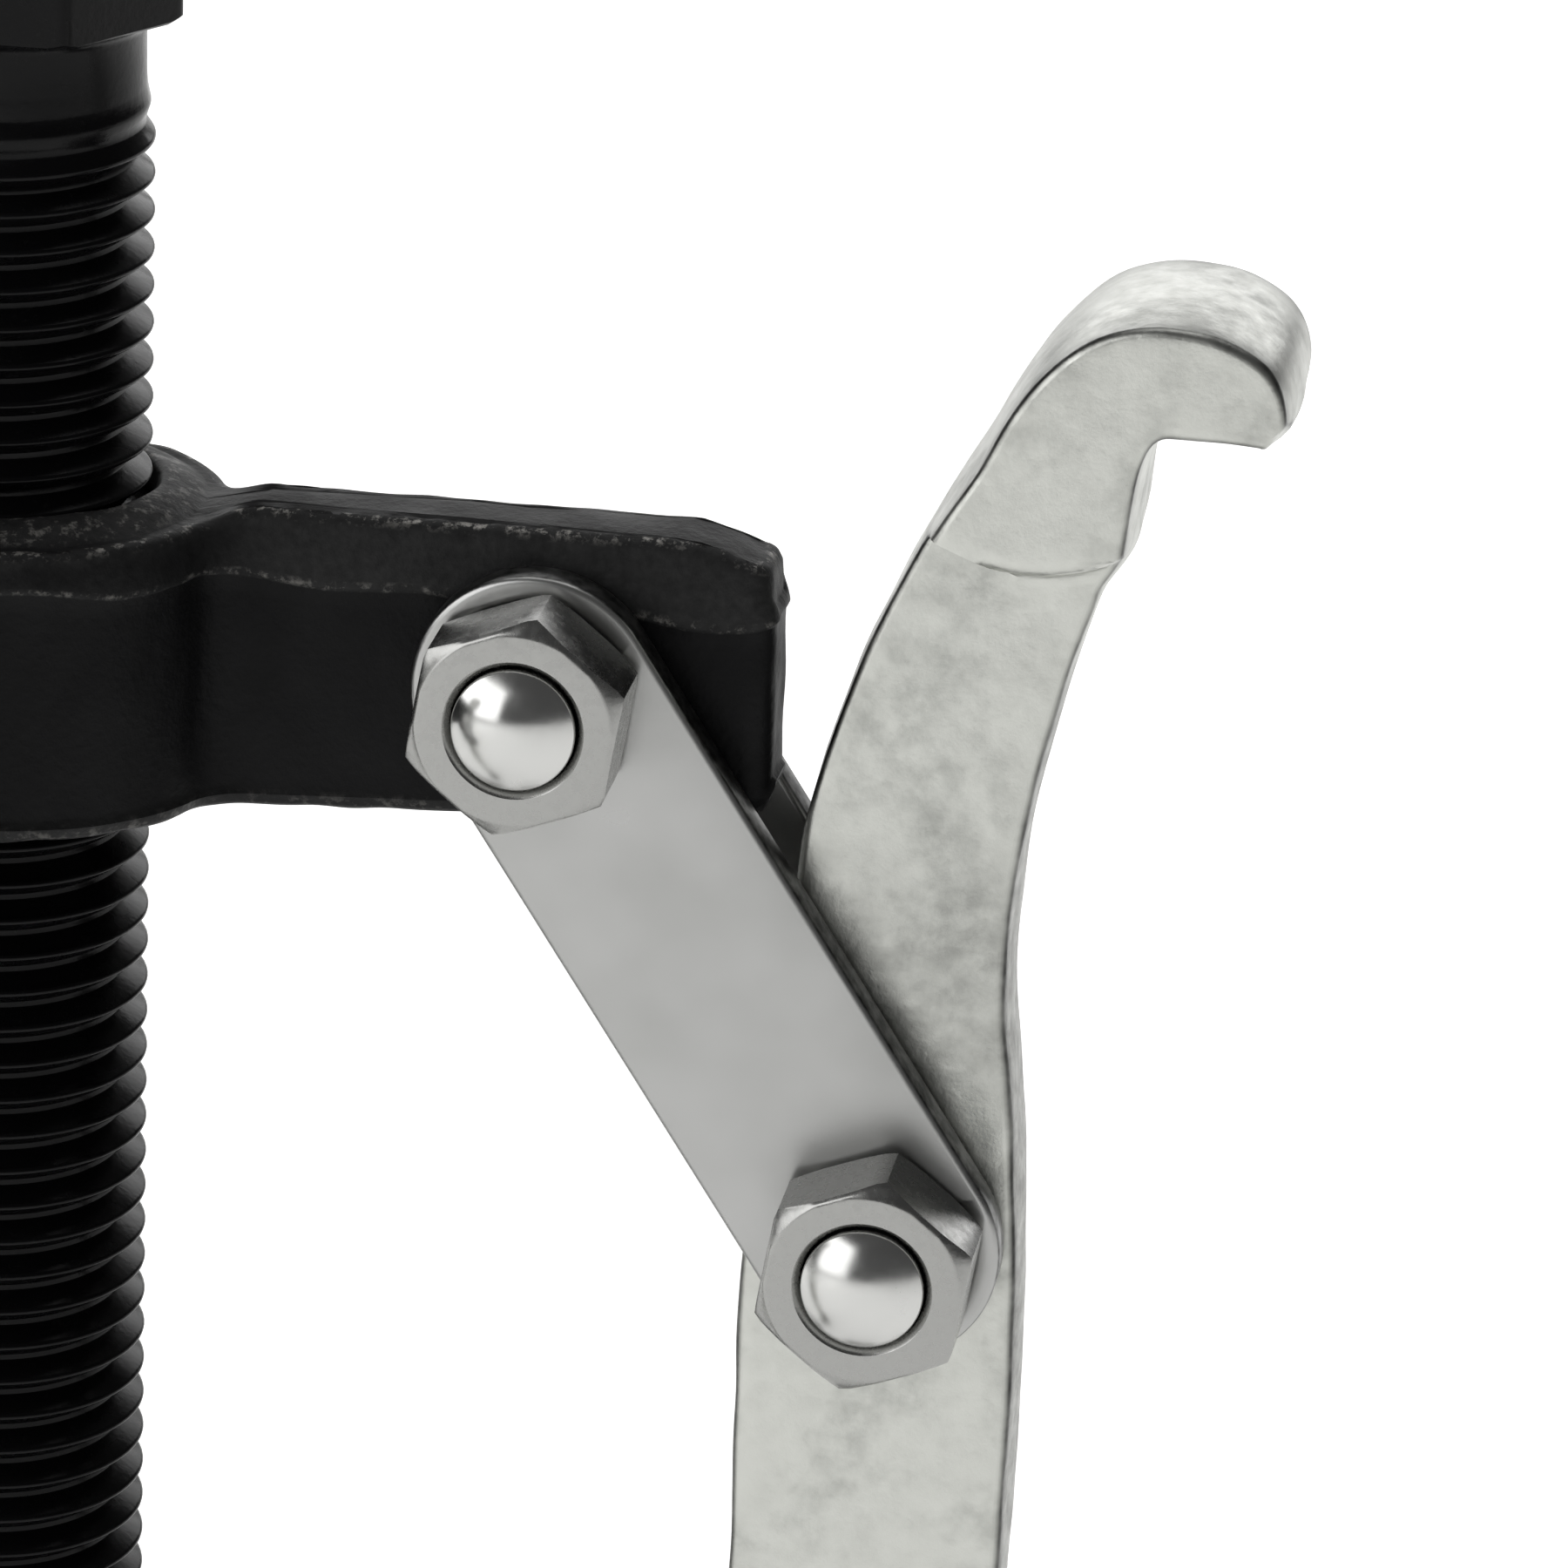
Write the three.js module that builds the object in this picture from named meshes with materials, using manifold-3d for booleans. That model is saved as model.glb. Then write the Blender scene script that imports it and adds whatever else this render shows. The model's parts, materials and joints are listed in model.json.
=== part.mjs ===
// Three-jaw reversible gear puller: a forged yoke with three arms, a forcing screw through its hub,
// and on each arm a pair of strap links that carries a double-ended jaw.
// Millimetres, +Z up along the screw. The origin is the centre of the pressure tip's end face.
// Arm 1 points along +X, arms 2 and 3 follow at 120 and 240 degrees.
import * as THREE from 'three';
import { mergeVertices } from 'three/addons/utils/BufferGeometryUtils.js';
import Module from 'manifold-3d';

const wasm = await Module();
wasm.setup();

// ---- Driving dimensions ----

const ARM_COUNT = 3;
const RUNNING_GAP = 0.3;          // between any two pieces that lie against each other
const CURVE_STEPS = 10;           // segments in each curved stretch of an outline
const ROUND_STEPS = 36;           // sides of a turned piece

// Forcing screw, M18 x 2.5, and its pressure tip
const SCREW_RADIUS = 9;
const SCREW_NECK_RADIUS = 8.4;
const SCREW_NECK_LENGTH = 4;
const SCREW_END_CHAMFER = 1.5;
const HEAD_ACROSS_FLATS = 19;
const HEAD_HEIGHT = 15;
const HEAD_CHAMFER = 1.6;
const HEAD_TURN = 30;             // degrees, so that two corners lie in arm 1's plane at rest
const HEAD_CLEARANCE = 31.9;       // hub top to head underside
const TIP_RADIUS = 5.5;
const TIP_FACE_RADIUS = 3;
const TIP_CONE_HEIGHT = 4.5;
const TIP_LENGTH = 8.5;           // from the end face to the end of the screw
const TIP_NECK_RADIUS = 2.4;
const TIP_BALL_RADIUS = 3.6;
const TIP_LIP_HEIGHT = 1.8;

// Yoke
const YOKE_LEVEL = 131;           // height of the upper pivots above the tip's end face
const HUB_RADIUS = 14.6;
const HUB_ABOVE = 8.9;            // hub top above the upper pivots
const HUB_BELOW = 10.4;           // hub and arm root below the upper pivots
const HUB_EDGE = 1.4;
const BOSS_RISE = 1.2;            // sloped collar round the screw
const BOSS_RADIUS = 12.6;
const ARM_THICKNESS = 7.6;
const ARM_ABOVE = 9.9;            // arm top above the upper pivots, along its level stretch
const ARM_ROOT = 17;              // where the level stretch starts, from the screw's axis
const ARM_END_SLOPE = 6;          // length of the sloping stretch before the arm's end
const ARM_END_ABOVE = 8.7;
const ARM_END_BELOW = 8.6;
const ARM_PAST_PIVOT = 15.2;
const ARM_CORNER = 1.8;
const ARM_EDGE = 1.1;
const PIVOT_RADIUS = 35.6;        // upper pivots from the screw's axis

// Strap links
const LINK_LENGTH = 43;           // between the pivots
const LINK_ANGLE = 33.3;          // degrees outward from straight down
const STRAP_WIDTH = 16;
const STRAP_THICKNESS = 2.8;

// Pivot bolts and nuts, M8
const BOLT_RADIUS = 4;
const NUT_ACROSS_FLATS = 13;
const NUT_HEIGHT = 6.5;
const BOLT_HEAD_HEIGHT = 5.3;
const BOLT_DOME = 1.5;            // rounded end standing out of the nut
const HEX_CHAMFER = 0.9;
const NUT_TURN = 42.5;            // degrees, so that a nut's corner points up at rest

// Jaws: sizes from the lower pivot, inward towards the screw and outward from it
const JAW_SIDE_GAP = 0.5;         // between the jaw and each strap
const JAW_RISE = 64.3;
const JAW_DROP = 122;
const JAW_INNER = 9.8;            // leg's inner edge just below the pivot
const JAW_INNER_LEVEL = -3;
const JAW_SWELL = 16;             // how far the swell round the pivot reaches up and down
const JAW_SWELL_OUTER = 9.4;      // outward pull of that swell at the pivot
const JAW_LOWER_OUTER = 8.8;      // leg's outer edge at the swell's lower end
const JAW_WAIST_OUTER = 7.3;      // leg's outer edge at the swell's upper end
const JAW_WAIST_INNER = 6.5;      // leg's inner edge where the head starts to lean out
const JAW_WAIST_LEVEL = 27;
const LEG_OUTER_FOOT = 6.6;       // leg's outer edge at the foot
const LEG_INNER_FOOT = 9.6;       // leg's inner edge at the foot
const FOOT_BASE_OUTER = 2;        // outer end of the flat that the jaw stands on, inward
const FOOT_THROAT_RADIUS = 6;     // hollow between the leg and the foot hook
const FOOT_HOOK_REACH = 29;       // foot hook's tip, inward from the pivot
const FOOT_HOOK_HEIGHT = 13;
const FOOT_HOOK_WIDTH = 17;
const FOOT_TIP_HEIGHT = 6.5;
const TOP_HOOK_REACH = 24.5;      // top hook's tip, outward from the pivot
const TOP_HOOK_WIDTH = 16.5;
const TOP_HOOK_HEIGHT = 8;        // top hook from its gripping face to the jaw's top
const TOP_HOOK_SHOULDER = 19.8;   // height of the widened head below the jaw's top
const TOP_HEAD_LOWER = 12.2;      // outer side of the widened head at its shoulder
const TOP_HEAD_NECK = 14.5;       // outer side of the widened head under the hook
const TOP_HEAD_RISE = 3.4;        // height of the slanting side between those two
const TOP_THROAT_RADIUS = 2;      // hollow between the head's outer side and the hook
const TOP_NOSE_LOWER = 4;         // lower stretch of the hook's rounded nose
const TOP_NOSE_UPPER = 6;         // where its upper stretch starts, above the gripping face
const TOP_BACK_PULL = 8.8;        // outward pull of the head's rounded back
const TOP_BACK_OUTER = 4.5;       // back of the head just below the gripping face
const TOP_BACK_INNER = 3.6;       // inward pull of the back at the head's shoulder
const HOOK_EDGE = 0.8;

// ---- Derived sizes ----

const holeRadius = BOLT_RADIUS + RUNNING_GAP;
const hubTop = YOKE_LEVEL + HUB_ABOVE;
const headBase = hubTop + HEAD_CLEARANCE;
const linkTurn = THREE.MathUtils.degToRad(LINK_ANGLE);
const lowerPivotRadius = PIVOT_RADIUS + LINK_LENGTH * Math.sin(linkTurn);
const lowerPivotLevel = YOKE_LEVEL - LINK_LENGTH * Math.cos(linkTurn);
const strapInner = ARM_THICKNESS / 2 + RUNNING_GAP;
const strapOuter = strapInner + STRAP_THICKNESS;
const jawThickness = 2 * (strapInner - JAW_SIDE_GAP);
const nutInner = strapOuter + RUNNING_GAP;
const nutOuter = nutInner + NUT_HEIGHT;

// ---- Solids and booleans ----

function toSolid(geometry) {
  const bare = geometry.clone();
  bare.deleteAttribute('normal');
  bare.deleteAttribute('uv');
  const merged = mergeVertices(bare, 1e-4);
  return new wasm.Manifold(new wasm.Mesh({
    numProp: 3,
    vertProperties: new Float32Array(merged.attributes.position.array),
    triVerts: new Uint32Array(merged.index.array),
  }));
}

function toGeometry(solid) {
  const mesh = solid.getMesh();
  const geometry = new THREE.BufferGeometry();
  geometry.setAttribute('position', new THREE.BufferAttribute(mesh.vertProperties, 3));
  geometry.setIndex(new THREE.BufferAttribute(mesh.triVerts, 1));
  return geometry;
}

// A turned solid about Z from [radius, z] pairs that close on themselves or on the axis.
function turned(profile) {
  const points = profile.map(([radius, z]) => new THREE.Vector2(radius, z));
  return new THREE.LatheGeometry(points, ROUND_STEPS).rotateX(Math.PI / 2);
}

// A cylinder along Y, centred on a point of the arm's plane.
function crossPin(radius, length, x, z) {
  return new THREE.CylinderGeometry(radius, radius, length, ROUND_STEPS).translate(x, 0, z);
}

// An outline drawn in the arm's plane (x outward, y up), made into a plate centred on that plane.
// The edge value chamfers the plate's rim without making it larger.
function plate(shape, thickness, edge = 0) {
  const geometry = new THREE.ExtrudeGeometry(shape, {
    depth: thickness - 2 * edge,
    bevelEnabled: edge > 0,
    bevelThickness: edge,
    bevelSize: edge,
    bevelOffset: -edge,
    bevelSegments: 1,
    curveSegments: CURVE_STEPS,
  });
  return geometry.translate(0, 0, edge - thickness / 2).rotateX(Math.PI / 2);
}

// A hexagonal prism along Z from z = 0, with the corners turned off at both ends.
function hexPrism(acrossFlats, height, chamfer) {
  const cornerRadius = acrossFlats / Math.sqrt(3);
  const prism = new THREE.CylinderGeometry(cornerRadius, cornerRadius, height, 6)
    .rotateX(Math.PI / 2)
    .translate(0, 0, height / 2);
  const slope = chamfer * Math.tan(Math.PI / 6);
  const faceRadius = cornerRadius - chamfer;
  const envelope = turned([
    [0, 0],
    [faceRadius, 0],
    [cornerRadius, slope],
    [cornerRadius, height - slope],
    [faceRadius, height],
    [0, height],
  ]);
  return toSolid(prism).intersect(toSolid(envelope));
}

// ---- Forcing screw and pressure tip ----

// Cavity for the tip's ball: a mouth narrower than the ball, then a ball seat.
function socketProfile() {
  const seatRadius = TIP_BALL_RADIUS + RUNNING_GAP;
  const mouthRadius = TIP_NECK_RADIUS + RUNNING_GAP;
  const ballLevel = TIP_LENGTH + TIP_LIP_HEIGHT + TIP_BALL_RADIUS;
  const mouthAngle = Math.acos(mouthRadius / seatRadius);
  const points = [[mouthRadius, TIP_LENGTH]];
  for (let i = 0; i <= CURVE_STEPS; i += 1) {
    const angle = -mouthAngle + (mouthAngle + Math.PI / 2) * (i / CURVE_STEPS);
    const radius = i === CURVE_STEPS ? 0 : seatRadius * Math.cos(angle);
    points.push([radius, ballLevel + seatRadius * Math.sin(angle)]);
  }
  return points;
}

function forcingScrew() {
  const neckBase = headBase - SCREW_NECK_LENGTH;
  const shank = turned([
    ...socketProfile().reverse(),
    [SCREW_RADIUS - SCREW_END_CHAMFER, TIP_LENGTH],
    [SCREW_RADIUS, TIP_LENGTH + SCREW_END_CHAMFER],
    [SCREW_RADIUS, neckBase - (SCREW_RADIUS - SCREW_NECK_RADIUS)],
    [SCREW_NECK_RADIUS, neckBase],
    [SCREW_NECK_RADIUS, headBase + 1],
    [0, headBase + 1],
  ]);
  const head = hexPrism(HEAD_ACROSS_FLATS, HEAD_HEIGHT, HEAD_CHAMFER)
    .rotate([0, 0, HEAD_TURN])
    .translate([0, 0, headBase]);
  return toGeometry(toSolid(shank).add(head));
}

function pressureTip() {
  const shoulder = TIP_LENGTH - RUNNING_GAP;
  const ballLevel = TIP_LENGTH + TIP_LIP_HEIGHT + TIP_BALL_RADIUS;
  const neckAngle = Math.acos(TIP_NECK_RADIUS / TIP_BALL_RADIUS);
  const profile = [
    [0, 0],
    [TIP_FACE_RADIUS, 0],
    [TIP_RADIUS, TIP_CONE_HEIGHT],
    [TIP_RADIUS, shoulder],
    [TIP_NECK_RADIUS, shoulder],
  ];
  for (let i = 0; i <= CURVE_STEPS; i += 1) {
    const angle = -neckAngle + (neckAngle + Math.PI / 2) * (i / CURVE_STEPS);
    const radius = i === CURVE_STEPS ? 0 : TIP_BALL_RADIUS * Math.cos(angle);
    profile.push([radius, ballLevel + TIP_BALL_RADIUS * Math.sin(angle)]);
  }
  return turned(profile);
}

// ---- Yoke ----

function armOutline() {
  const end = PIVOT_RADIUS + ARM_PAST_PIVOT;
  const shape = new THREE.Shape();
  shape.moveTo(0, -HUB_BELOW);
  shape.lineTo(HUB_RADIUS, -HUB_BELOW);
  shape.lineTo(end - ARM_CORNER, -ARM_END_BELOW);
  shape.quadraticCurveTo(end, -ARM_END_BELOW, end, -ARM_END_BELOW + ARM_CORNER);
  shape.lineTo(end, ARM_END_ABOVE - ARM_CORNER);
  shape.quadraticCurveTo(end, ARM_END_ABOVE, end - ARM_CORNER, ARM_END_ABOVE);
  shape.lineTo(end - ARM_END_SLOPE, ARM_ABOVE);
  shape.lineTo(ARM_ROOT, ARM_ABOVE);
  shape.lineTo(BOSS_RADIUS, HUB_ABOVE);
  shape.lineTo(0, HUB_ABOVE);
  return shape;
}

function yoke() {
  const hub = turned([
    [0, -HUB_BELOW],
    [HUB_RADIUS - HUB_EDGE, -HUB_BELOW],
    [HUB_RADIUS, -HUB_BELOW + HUB_EDGE],
    [HUB_RADIUS, HUB_ABOVE - HUB_EDGE],
    [BOSS_RADIUS, HUB_ABOVE],
    [SCREW_RADIUS + RUNNING_GAP, HUB_ABOVE + BOSS_RISE],
    [0, HUB_ABOVE + BOSS_RISE],
  ]);
  let solid = toSolid(hub);
  const arm = toSolid(plate(armOutline(), ARM_THICKNESS, ARM_EDGE));
  const hole = toSolid(crossPin(holeRadius, ARM_THICKNESS + 2, PIVOT_RADIUS, 0));
  for (let i = 0; i < ARM_COUNT; i += 1) {
    solid = solid.add(arm.subtract(hole).rotate([0, 0, (i * 360) / ARM_COUNT]));
  }
  const boreLength = HUB_ABOVE + BOSS_RISE + HUB_BELOW + 2;
  const bore = turned([
    [0, -HUB_BELOW - 1],
    [SCREW_RADIUS + RUNNING_GAP, -HUB_BELOW - 1],
    [SCREW_RADIUS + RUNNING_GAP, boreLength - HUB_BELOW - 1],
    [0, boreLength - HUB_BELOW - 1],
  ]);
  return toGeometry(solid.subtract(toSolid(bore)));
}

// ---- Strap links, bolts and nuts ----

// Round-ended bar hanging from its upper hole at the origin.
function strap() {
  const radius = STRAP_WIDTH / 2;
  const shape = new THREE.Shape();
  shape.absarc(0, 0, radius, 0, Math.PI, false);
  shape.absarc(0, -LINK_LENGTH, radius, Math.PI, 2 * Math.PI, false);
  shape.closePath();
  for (const level of [0, -LINK_LENGTH]) {
    const hole = new THREE.Path();
    hole.absarc(0, level, holeRadius, 0, 2 * Math.PI, true);
    shape.holes.push(hole);
  }
  return plate(shape, STRAP_THICKNESS);
}

// Nut along -Y, its inner face at y = 0.
function nut() {
  const hex = hexPrism(NUT_ACROSS_FLATS, NUT_HEIGHT, HEX_CHAMFER);
  const hole = new THREE.CylinderGeometry(holeRadius, holeRadius, NUT_HEIGHT + 2, ROUND_STEPS)
    .rotateX(Math.PI / 2)
    .translate(0, 0, NUT_HEIGHT / 2);
  return toGeometry(hex.subtract(toSolid(hole))).rotateX(Math.PI / 2);
}

// Bolt along Y, centred on the arm's plane: head on the +Y side, domed end past the nut on -Y.
function bolt() {
  const domeRadius = (BOLT_RADIUS ** 2 + BOLT_DOME ** 2) / (2 * BOLT_DOME);
  const profile = [[0, -nutInner - 1], [BOLT_RADIUS, -nutInner - 1]];
  for (let i = 0; i <= CURVE_STEPS / 2; i += 1) {
    const radius = BOLT_RADIUS * (1 - i / (CURVE_STEPS / 2));
    profile.push([radius, nutOuter + BOLT_DOME - domeRadius + Math.sqrt(domeRadius ** 2 - radius ** 2)]);
  }
  const shank = toSolid(turned(profile));
  const head = hexPrism(NUT_ACROSS_FLATS, BOLT_HEAD_HEIGHT, HEX_CHAMFER)
    .translate([0, 0, -nutInner - BOLT_HEAD_HEIGHT]);
  return toGeometry(shank.add(head)).rotateX(Math.PI / 2);
}

// ---- Jaws ----

// Side outline of the whole jaw about its pivot: x outward, y up.
function jawOutline() {
  const grip = JAW_RISE - TOP_HOOK_HEIGHT;
  const shoulder = JAW_RISE - TOP_HOOK_SHOULDER;
  const foot = -JAW_DROP;
  const footGrip = foot + FOOT_HOOK_HEIGHT;
  const shape = new THREE.Shape();
  const noseUpper = grip + TOP_NOSE_UPPER;
  shape.moveTo(-JAW_INNER, foot);
  shape.lineTo(-FOOT_BASE_OUTER, foot);
  shape.quadraticCurveTo(LEG_OUTER_FOOT, foot, LEG_OUTER_FOOT, footGrip);
  shape.lineTo(JAW_LOWER_OUTER, -JAW_SWELL);
  shape.quadraticCurveTo(JAW_SWELL_OUTER, 0, JAW_WAIST_OUTER, JAW_SWELL);
  shape.quadraticCurveTo(JAW_WAIST_OUTER, (JAW_SWELL + shoulder) / 2, TOP_HEAD_LOWER, shoulder);
  shape.lineTo(TOP_HEAD_NECK - RUNNING_GAP, shoulder + TOP_HEAD_RISE);
  shape.quadraticCurveTo(TOP_HEAD_NECK, grip, TOP_HEAD_NECK + TOP_THROAT_RADIUS, grip);
  shape.lineTo(TOP_HOOK_REACH - 1, grip);
  shape.quadraticCurveTo(TOP_HOOK_REACH + 0.4, grip + TOP_NOSE_LOWER, TOP_HOOK_REACH - 2, noseUpper);
  shape.quadraticCurveTo(TOP_HOOK_REACH - 5, JAW_RISE, TOP_HEAD_NECK + 1, JAW_RISE);
  shape.quadraticCurveTo(TOP_BACK_PULL, JAW_RISE, TOP_BACK_OUTER, grip - TOP_THROAT_RADIUS);
  shape.quadraticCurveTo(-TOP_BACK_INNER, shoulder - 3, -JAW_WAIST_INNER, JAW_WAIST_LEVEL);
  shape.lineTo(-JAW_INNER, JAW_INNER_LEVEL);
  shape.lineTo(-LEG_INNER_FOOT, footGrip + FOOT_THROAT_RADIUS);
  shape.quadraticCurveTo(-LEG_INNER_FOOT, footGrip, -LEG_INNER_FOOT - FOOT_THROAT_RADIUS, footGrip);
  shape.lineTo(-FOOT_HOOK_REACH, footGrip);
  shape.lineTo(-FOOT_HOOK_REACH, footGrip - FOOT_TIP_HEIGHT);
  shape.closePath();
  return shape;
}

// A block as wide as a hook, over the stretch of the jaw where that hook is widened.
function hookZone(width, low, high) {
  const reach = FOOT_HOOK_REACH + TOP_HOOK_REACH;
  return toSolid(new THREE.BoxGeometry(2 * reach, width, high - low).translate(0, 0, (low + high) / 2));
}

function jaw() {
  const outline = jawOutline();
  const shoulder = JAW_RISE - TOP_HOOK_SHOULDER;
  const footShoulder = -JAW_DROP + FOOT_HOOK_HEIGHT + 5;
  const leg = toSolid(plate(outline, jawThickness));
  const topHead = toSolid(plate(outline, TOP_HOOK_WIDTH, HOOK_EDGE))
    .intersect(hookZone(TOP_HOOK_WIDTH, shoulder, JAW_RISE + 1));
  const foot = toSolid(plate(outline, FOOT_HOOK_WIDTH, HOOK_EDGE))
    .intersect(hookZone(FOOT_HOOK_WIDTH, -JAW_DROP - 1, footShoulder));
  const hole = toSolid(crossPin(holeRadius, jawThickness + 2, 0, 0));
  return toGeometry(leg.add(topHead).add(foot).subtract(hole));
}

// ---- Materials ----

const blackSteel = new THREE.MeshStandardMaterial({ color: 0x26272a, roughness: 0.45, metalness: 0.8 });
const platedSteel = new THREE.MeshStandardMaterial({ color: 0xb8b8b3, roughness: 0.4, metalness: 0.9 });
const brightSteel = new THREE.MeshStandardMaterial({ color: 0xc8c9cb, roughness: 0.22, metalness: 1 });
const tipSteel = new THREE.MeshStandardMaterial({ color: 0x8d8f93, roughness: 0.3, metalness: 1 });

// ---- Assembly ----

function named(name, geometry, material) {
  const mesh = new THREE.Mesh(geometry, material);
  mesh.name = name;
  return mesh;
}

const puller = new THREE.Group();
puller.add(named('forcing_screw', forcingScrew(), blackSteel));
puller.add(named('pressure_tip', pressureTip(), tipSteel));

const yokeMesh = named('yoke', yoke(), blackSteel);
yokeMesh.position.z = YOKE_LEVEL;
puller.add(yokeMesh);

const strapGeometry = strap();
const nutGeometry = nut();
const boltGeometry = bolt();
const jawGeometry = jaw();
const strapMiddle = (strapInner + strapOuter) / 2;

for (let i = 1; i <= ARM_COUNT; i += 1) {
  const arm = new THREE.Group();
  arm.rotation.z = ((i - 1) * 2 * Math.PI) / ARM_COUNT;

  const link = new THREE.Group();
  link.position.set(PIVOT_RADIUS, 0, YOKE_LEVEL);
  link.rotation.y = -linkTurn;
  for (const [side, y] of [['nut_side', -strapMiddle], ['head_side', strapMiddle]]) {
    const bar = named(`strap_${i}_${side}`, strapGeometry, platedSteel);
    bar.position.y = y;
    link.add(bar);
  }
  for (const [place, z] of [['upper', 0], ['lower', -LINK_LENGTH]]) {
    const pin = named(`${place}_bolt_${i}`, boltGeometry, brightSteel);
    pin.position.z = z;
    const lock = named(`${place}_nut_${i}`, nutGeometry, brightSteel);
    lock.position.set(0, -nutInner, z);
    lock.rotation.y = THREE.MathUtils.degToRad(NUT_TURN);
    link.add(pin, lock);
  }

  const claw = named(`jaw_${i}`, jawGeometry, platedSteel);
  claw.position.set(lowerPivotRadius, 0, lowerPivotLevel);
  arm.add(link, claw);
  puller.add(arm);
}

export default puller;
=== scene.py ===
"""Three-jaw reversible gear puller: finished surfaces built round its packed CAD model.

Laid out as an add-on: property groups hold the sizes and colours, one operator builds each kind of
piece, and a sidebar panel lists them. Sizes are in millimetres until a mesh is made. Arm 1 points
along +X, and arms 2 and 3 are the same pieces turned about the screw's axis.
"""

import json
import math

import bmesh
import bpy
import numpy as np
from bpy.props import FloatProperty, FloatVectorProperty, PointerProperty
from mathutils import Matrix, Vector

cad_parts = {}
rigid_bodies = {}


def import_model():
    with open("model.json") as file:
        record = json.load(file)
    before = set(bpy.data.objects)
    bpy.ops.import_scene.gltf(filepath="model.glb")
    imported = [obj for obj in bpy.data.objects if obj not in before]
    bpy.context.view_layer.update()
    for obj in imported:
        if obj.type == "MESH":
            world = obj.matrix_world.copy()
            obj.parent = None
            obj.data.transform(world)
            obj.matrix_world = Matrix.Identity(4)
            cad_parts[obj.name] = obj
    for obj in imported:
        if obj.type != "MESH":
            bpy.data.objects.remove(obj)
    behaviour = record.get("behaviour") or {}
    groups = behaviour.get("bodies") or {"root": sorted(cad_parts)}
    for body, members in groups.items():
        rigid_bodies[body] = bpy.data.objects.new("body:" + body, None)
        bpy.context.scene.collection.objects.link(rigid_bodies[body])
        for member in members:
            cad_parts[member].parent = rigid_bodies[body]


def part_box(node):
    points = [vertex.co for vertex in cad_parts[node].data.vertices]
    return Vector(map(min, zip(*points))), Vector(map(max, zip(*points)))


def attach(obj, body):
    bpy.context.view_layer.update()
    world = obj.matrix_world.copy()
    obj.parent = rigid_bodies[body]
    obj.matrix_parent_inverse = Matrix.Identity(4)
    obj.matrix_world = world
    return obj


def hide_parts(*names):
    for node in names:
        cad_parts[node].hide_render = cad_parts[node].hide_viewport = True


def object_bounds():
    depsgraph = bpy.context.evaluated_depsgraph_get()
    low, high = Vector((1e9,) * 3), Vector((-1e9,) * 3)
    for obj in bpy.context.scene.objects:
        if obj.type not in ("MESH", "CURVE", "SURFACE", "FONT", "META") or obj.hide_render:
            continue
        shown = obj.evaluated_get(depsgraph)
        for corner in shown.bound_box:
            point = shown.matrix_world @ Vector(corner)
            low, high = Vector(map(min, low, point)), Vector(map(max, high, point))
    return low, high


bl_info = {
    "name": "Three-jaw gear puller",
    "version": (1, 0, 0),
    "blender": (4, 5, 0),
    "location": "View3D > Sidebar > Puller",
    "description": "Builds the finished surfaces of a three-jaw reversible gear puller",
    "category": "Object",
}

MM = 0.001
ARMS = (1, 2, 3)
TURN = 2 * math.pi
SMALL = 1e-6             # Stands in for zero in a division.
RUNNING_GAP = 0.3        # Millimetres between an arm and its straps.
JAW_SIDE_GAP = 0.5       # Millimetres between a jaw's leg and its straps.
MERGE = 2e-6             # Points nearer than this, in metres, are one point.
VANISHED = 1e-7          # Edges shorter than this, in metres, are dropped.
ROD_POINTS = 49          # Points round a drilled hole.

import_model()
cad_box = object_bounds()


# ---- Sizes read from the frame ----

def box_mm(node):
    """Lowest and highest corner of a CAD node, in millimetres."""
    low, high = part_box(node)
    return np.array(low) / MM, np.array(high) / MM


def middle_mm(node):
    low, high = box_mm(node)
    return (low + high) / 2


screw_low, screw_high = box_mm("forcing_screw")
tip_low = box_mm("pressure_tip")[0]
yoke_high = box_mm("yoke")[1]
strap_low, strap_high = box_mm("strap_1_head_side")
nut_low, nut_high = box_mm("lower_nut_1")
bolt_low, bolt_high = box_mm("lower_bolt_1")
jaw_low, jaw_high = box_mm("jaw_1")
upper_pivot = middle_mm("upper_bolt_1")[[0, 2]]
lower_pivot = middle_mm("lower_bolt_1")[[0, 2]]


# ---- Property groups ----

def size(name, description, default, unit="NONE"):
    """A length in millimetres, or a plain number."""
    return FloatProperty(name=name, description=description, default=default, unit=unit)


def linear(hex_colour):
    """A linear colour with alpha from an sRGB hex value such as 1B1B1D."""
    channels = np.array([int(hex_colour[i:i + 2], 16) for i in (0, 2, 4)]) / 255
    low, high = channels / 12.92, ((channels + 0.055) / 1.055) ** 2.4
    return (*np.where(channels <= 0.04045, low, high).tolist(), 1.0)


def colour(name, description, hex_colour):
    return FloatVectorProperty(name=name, description=description, default=linear(hex_colour),
                               subtype="COLOR", size=4, min=0, max=1)


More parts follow.
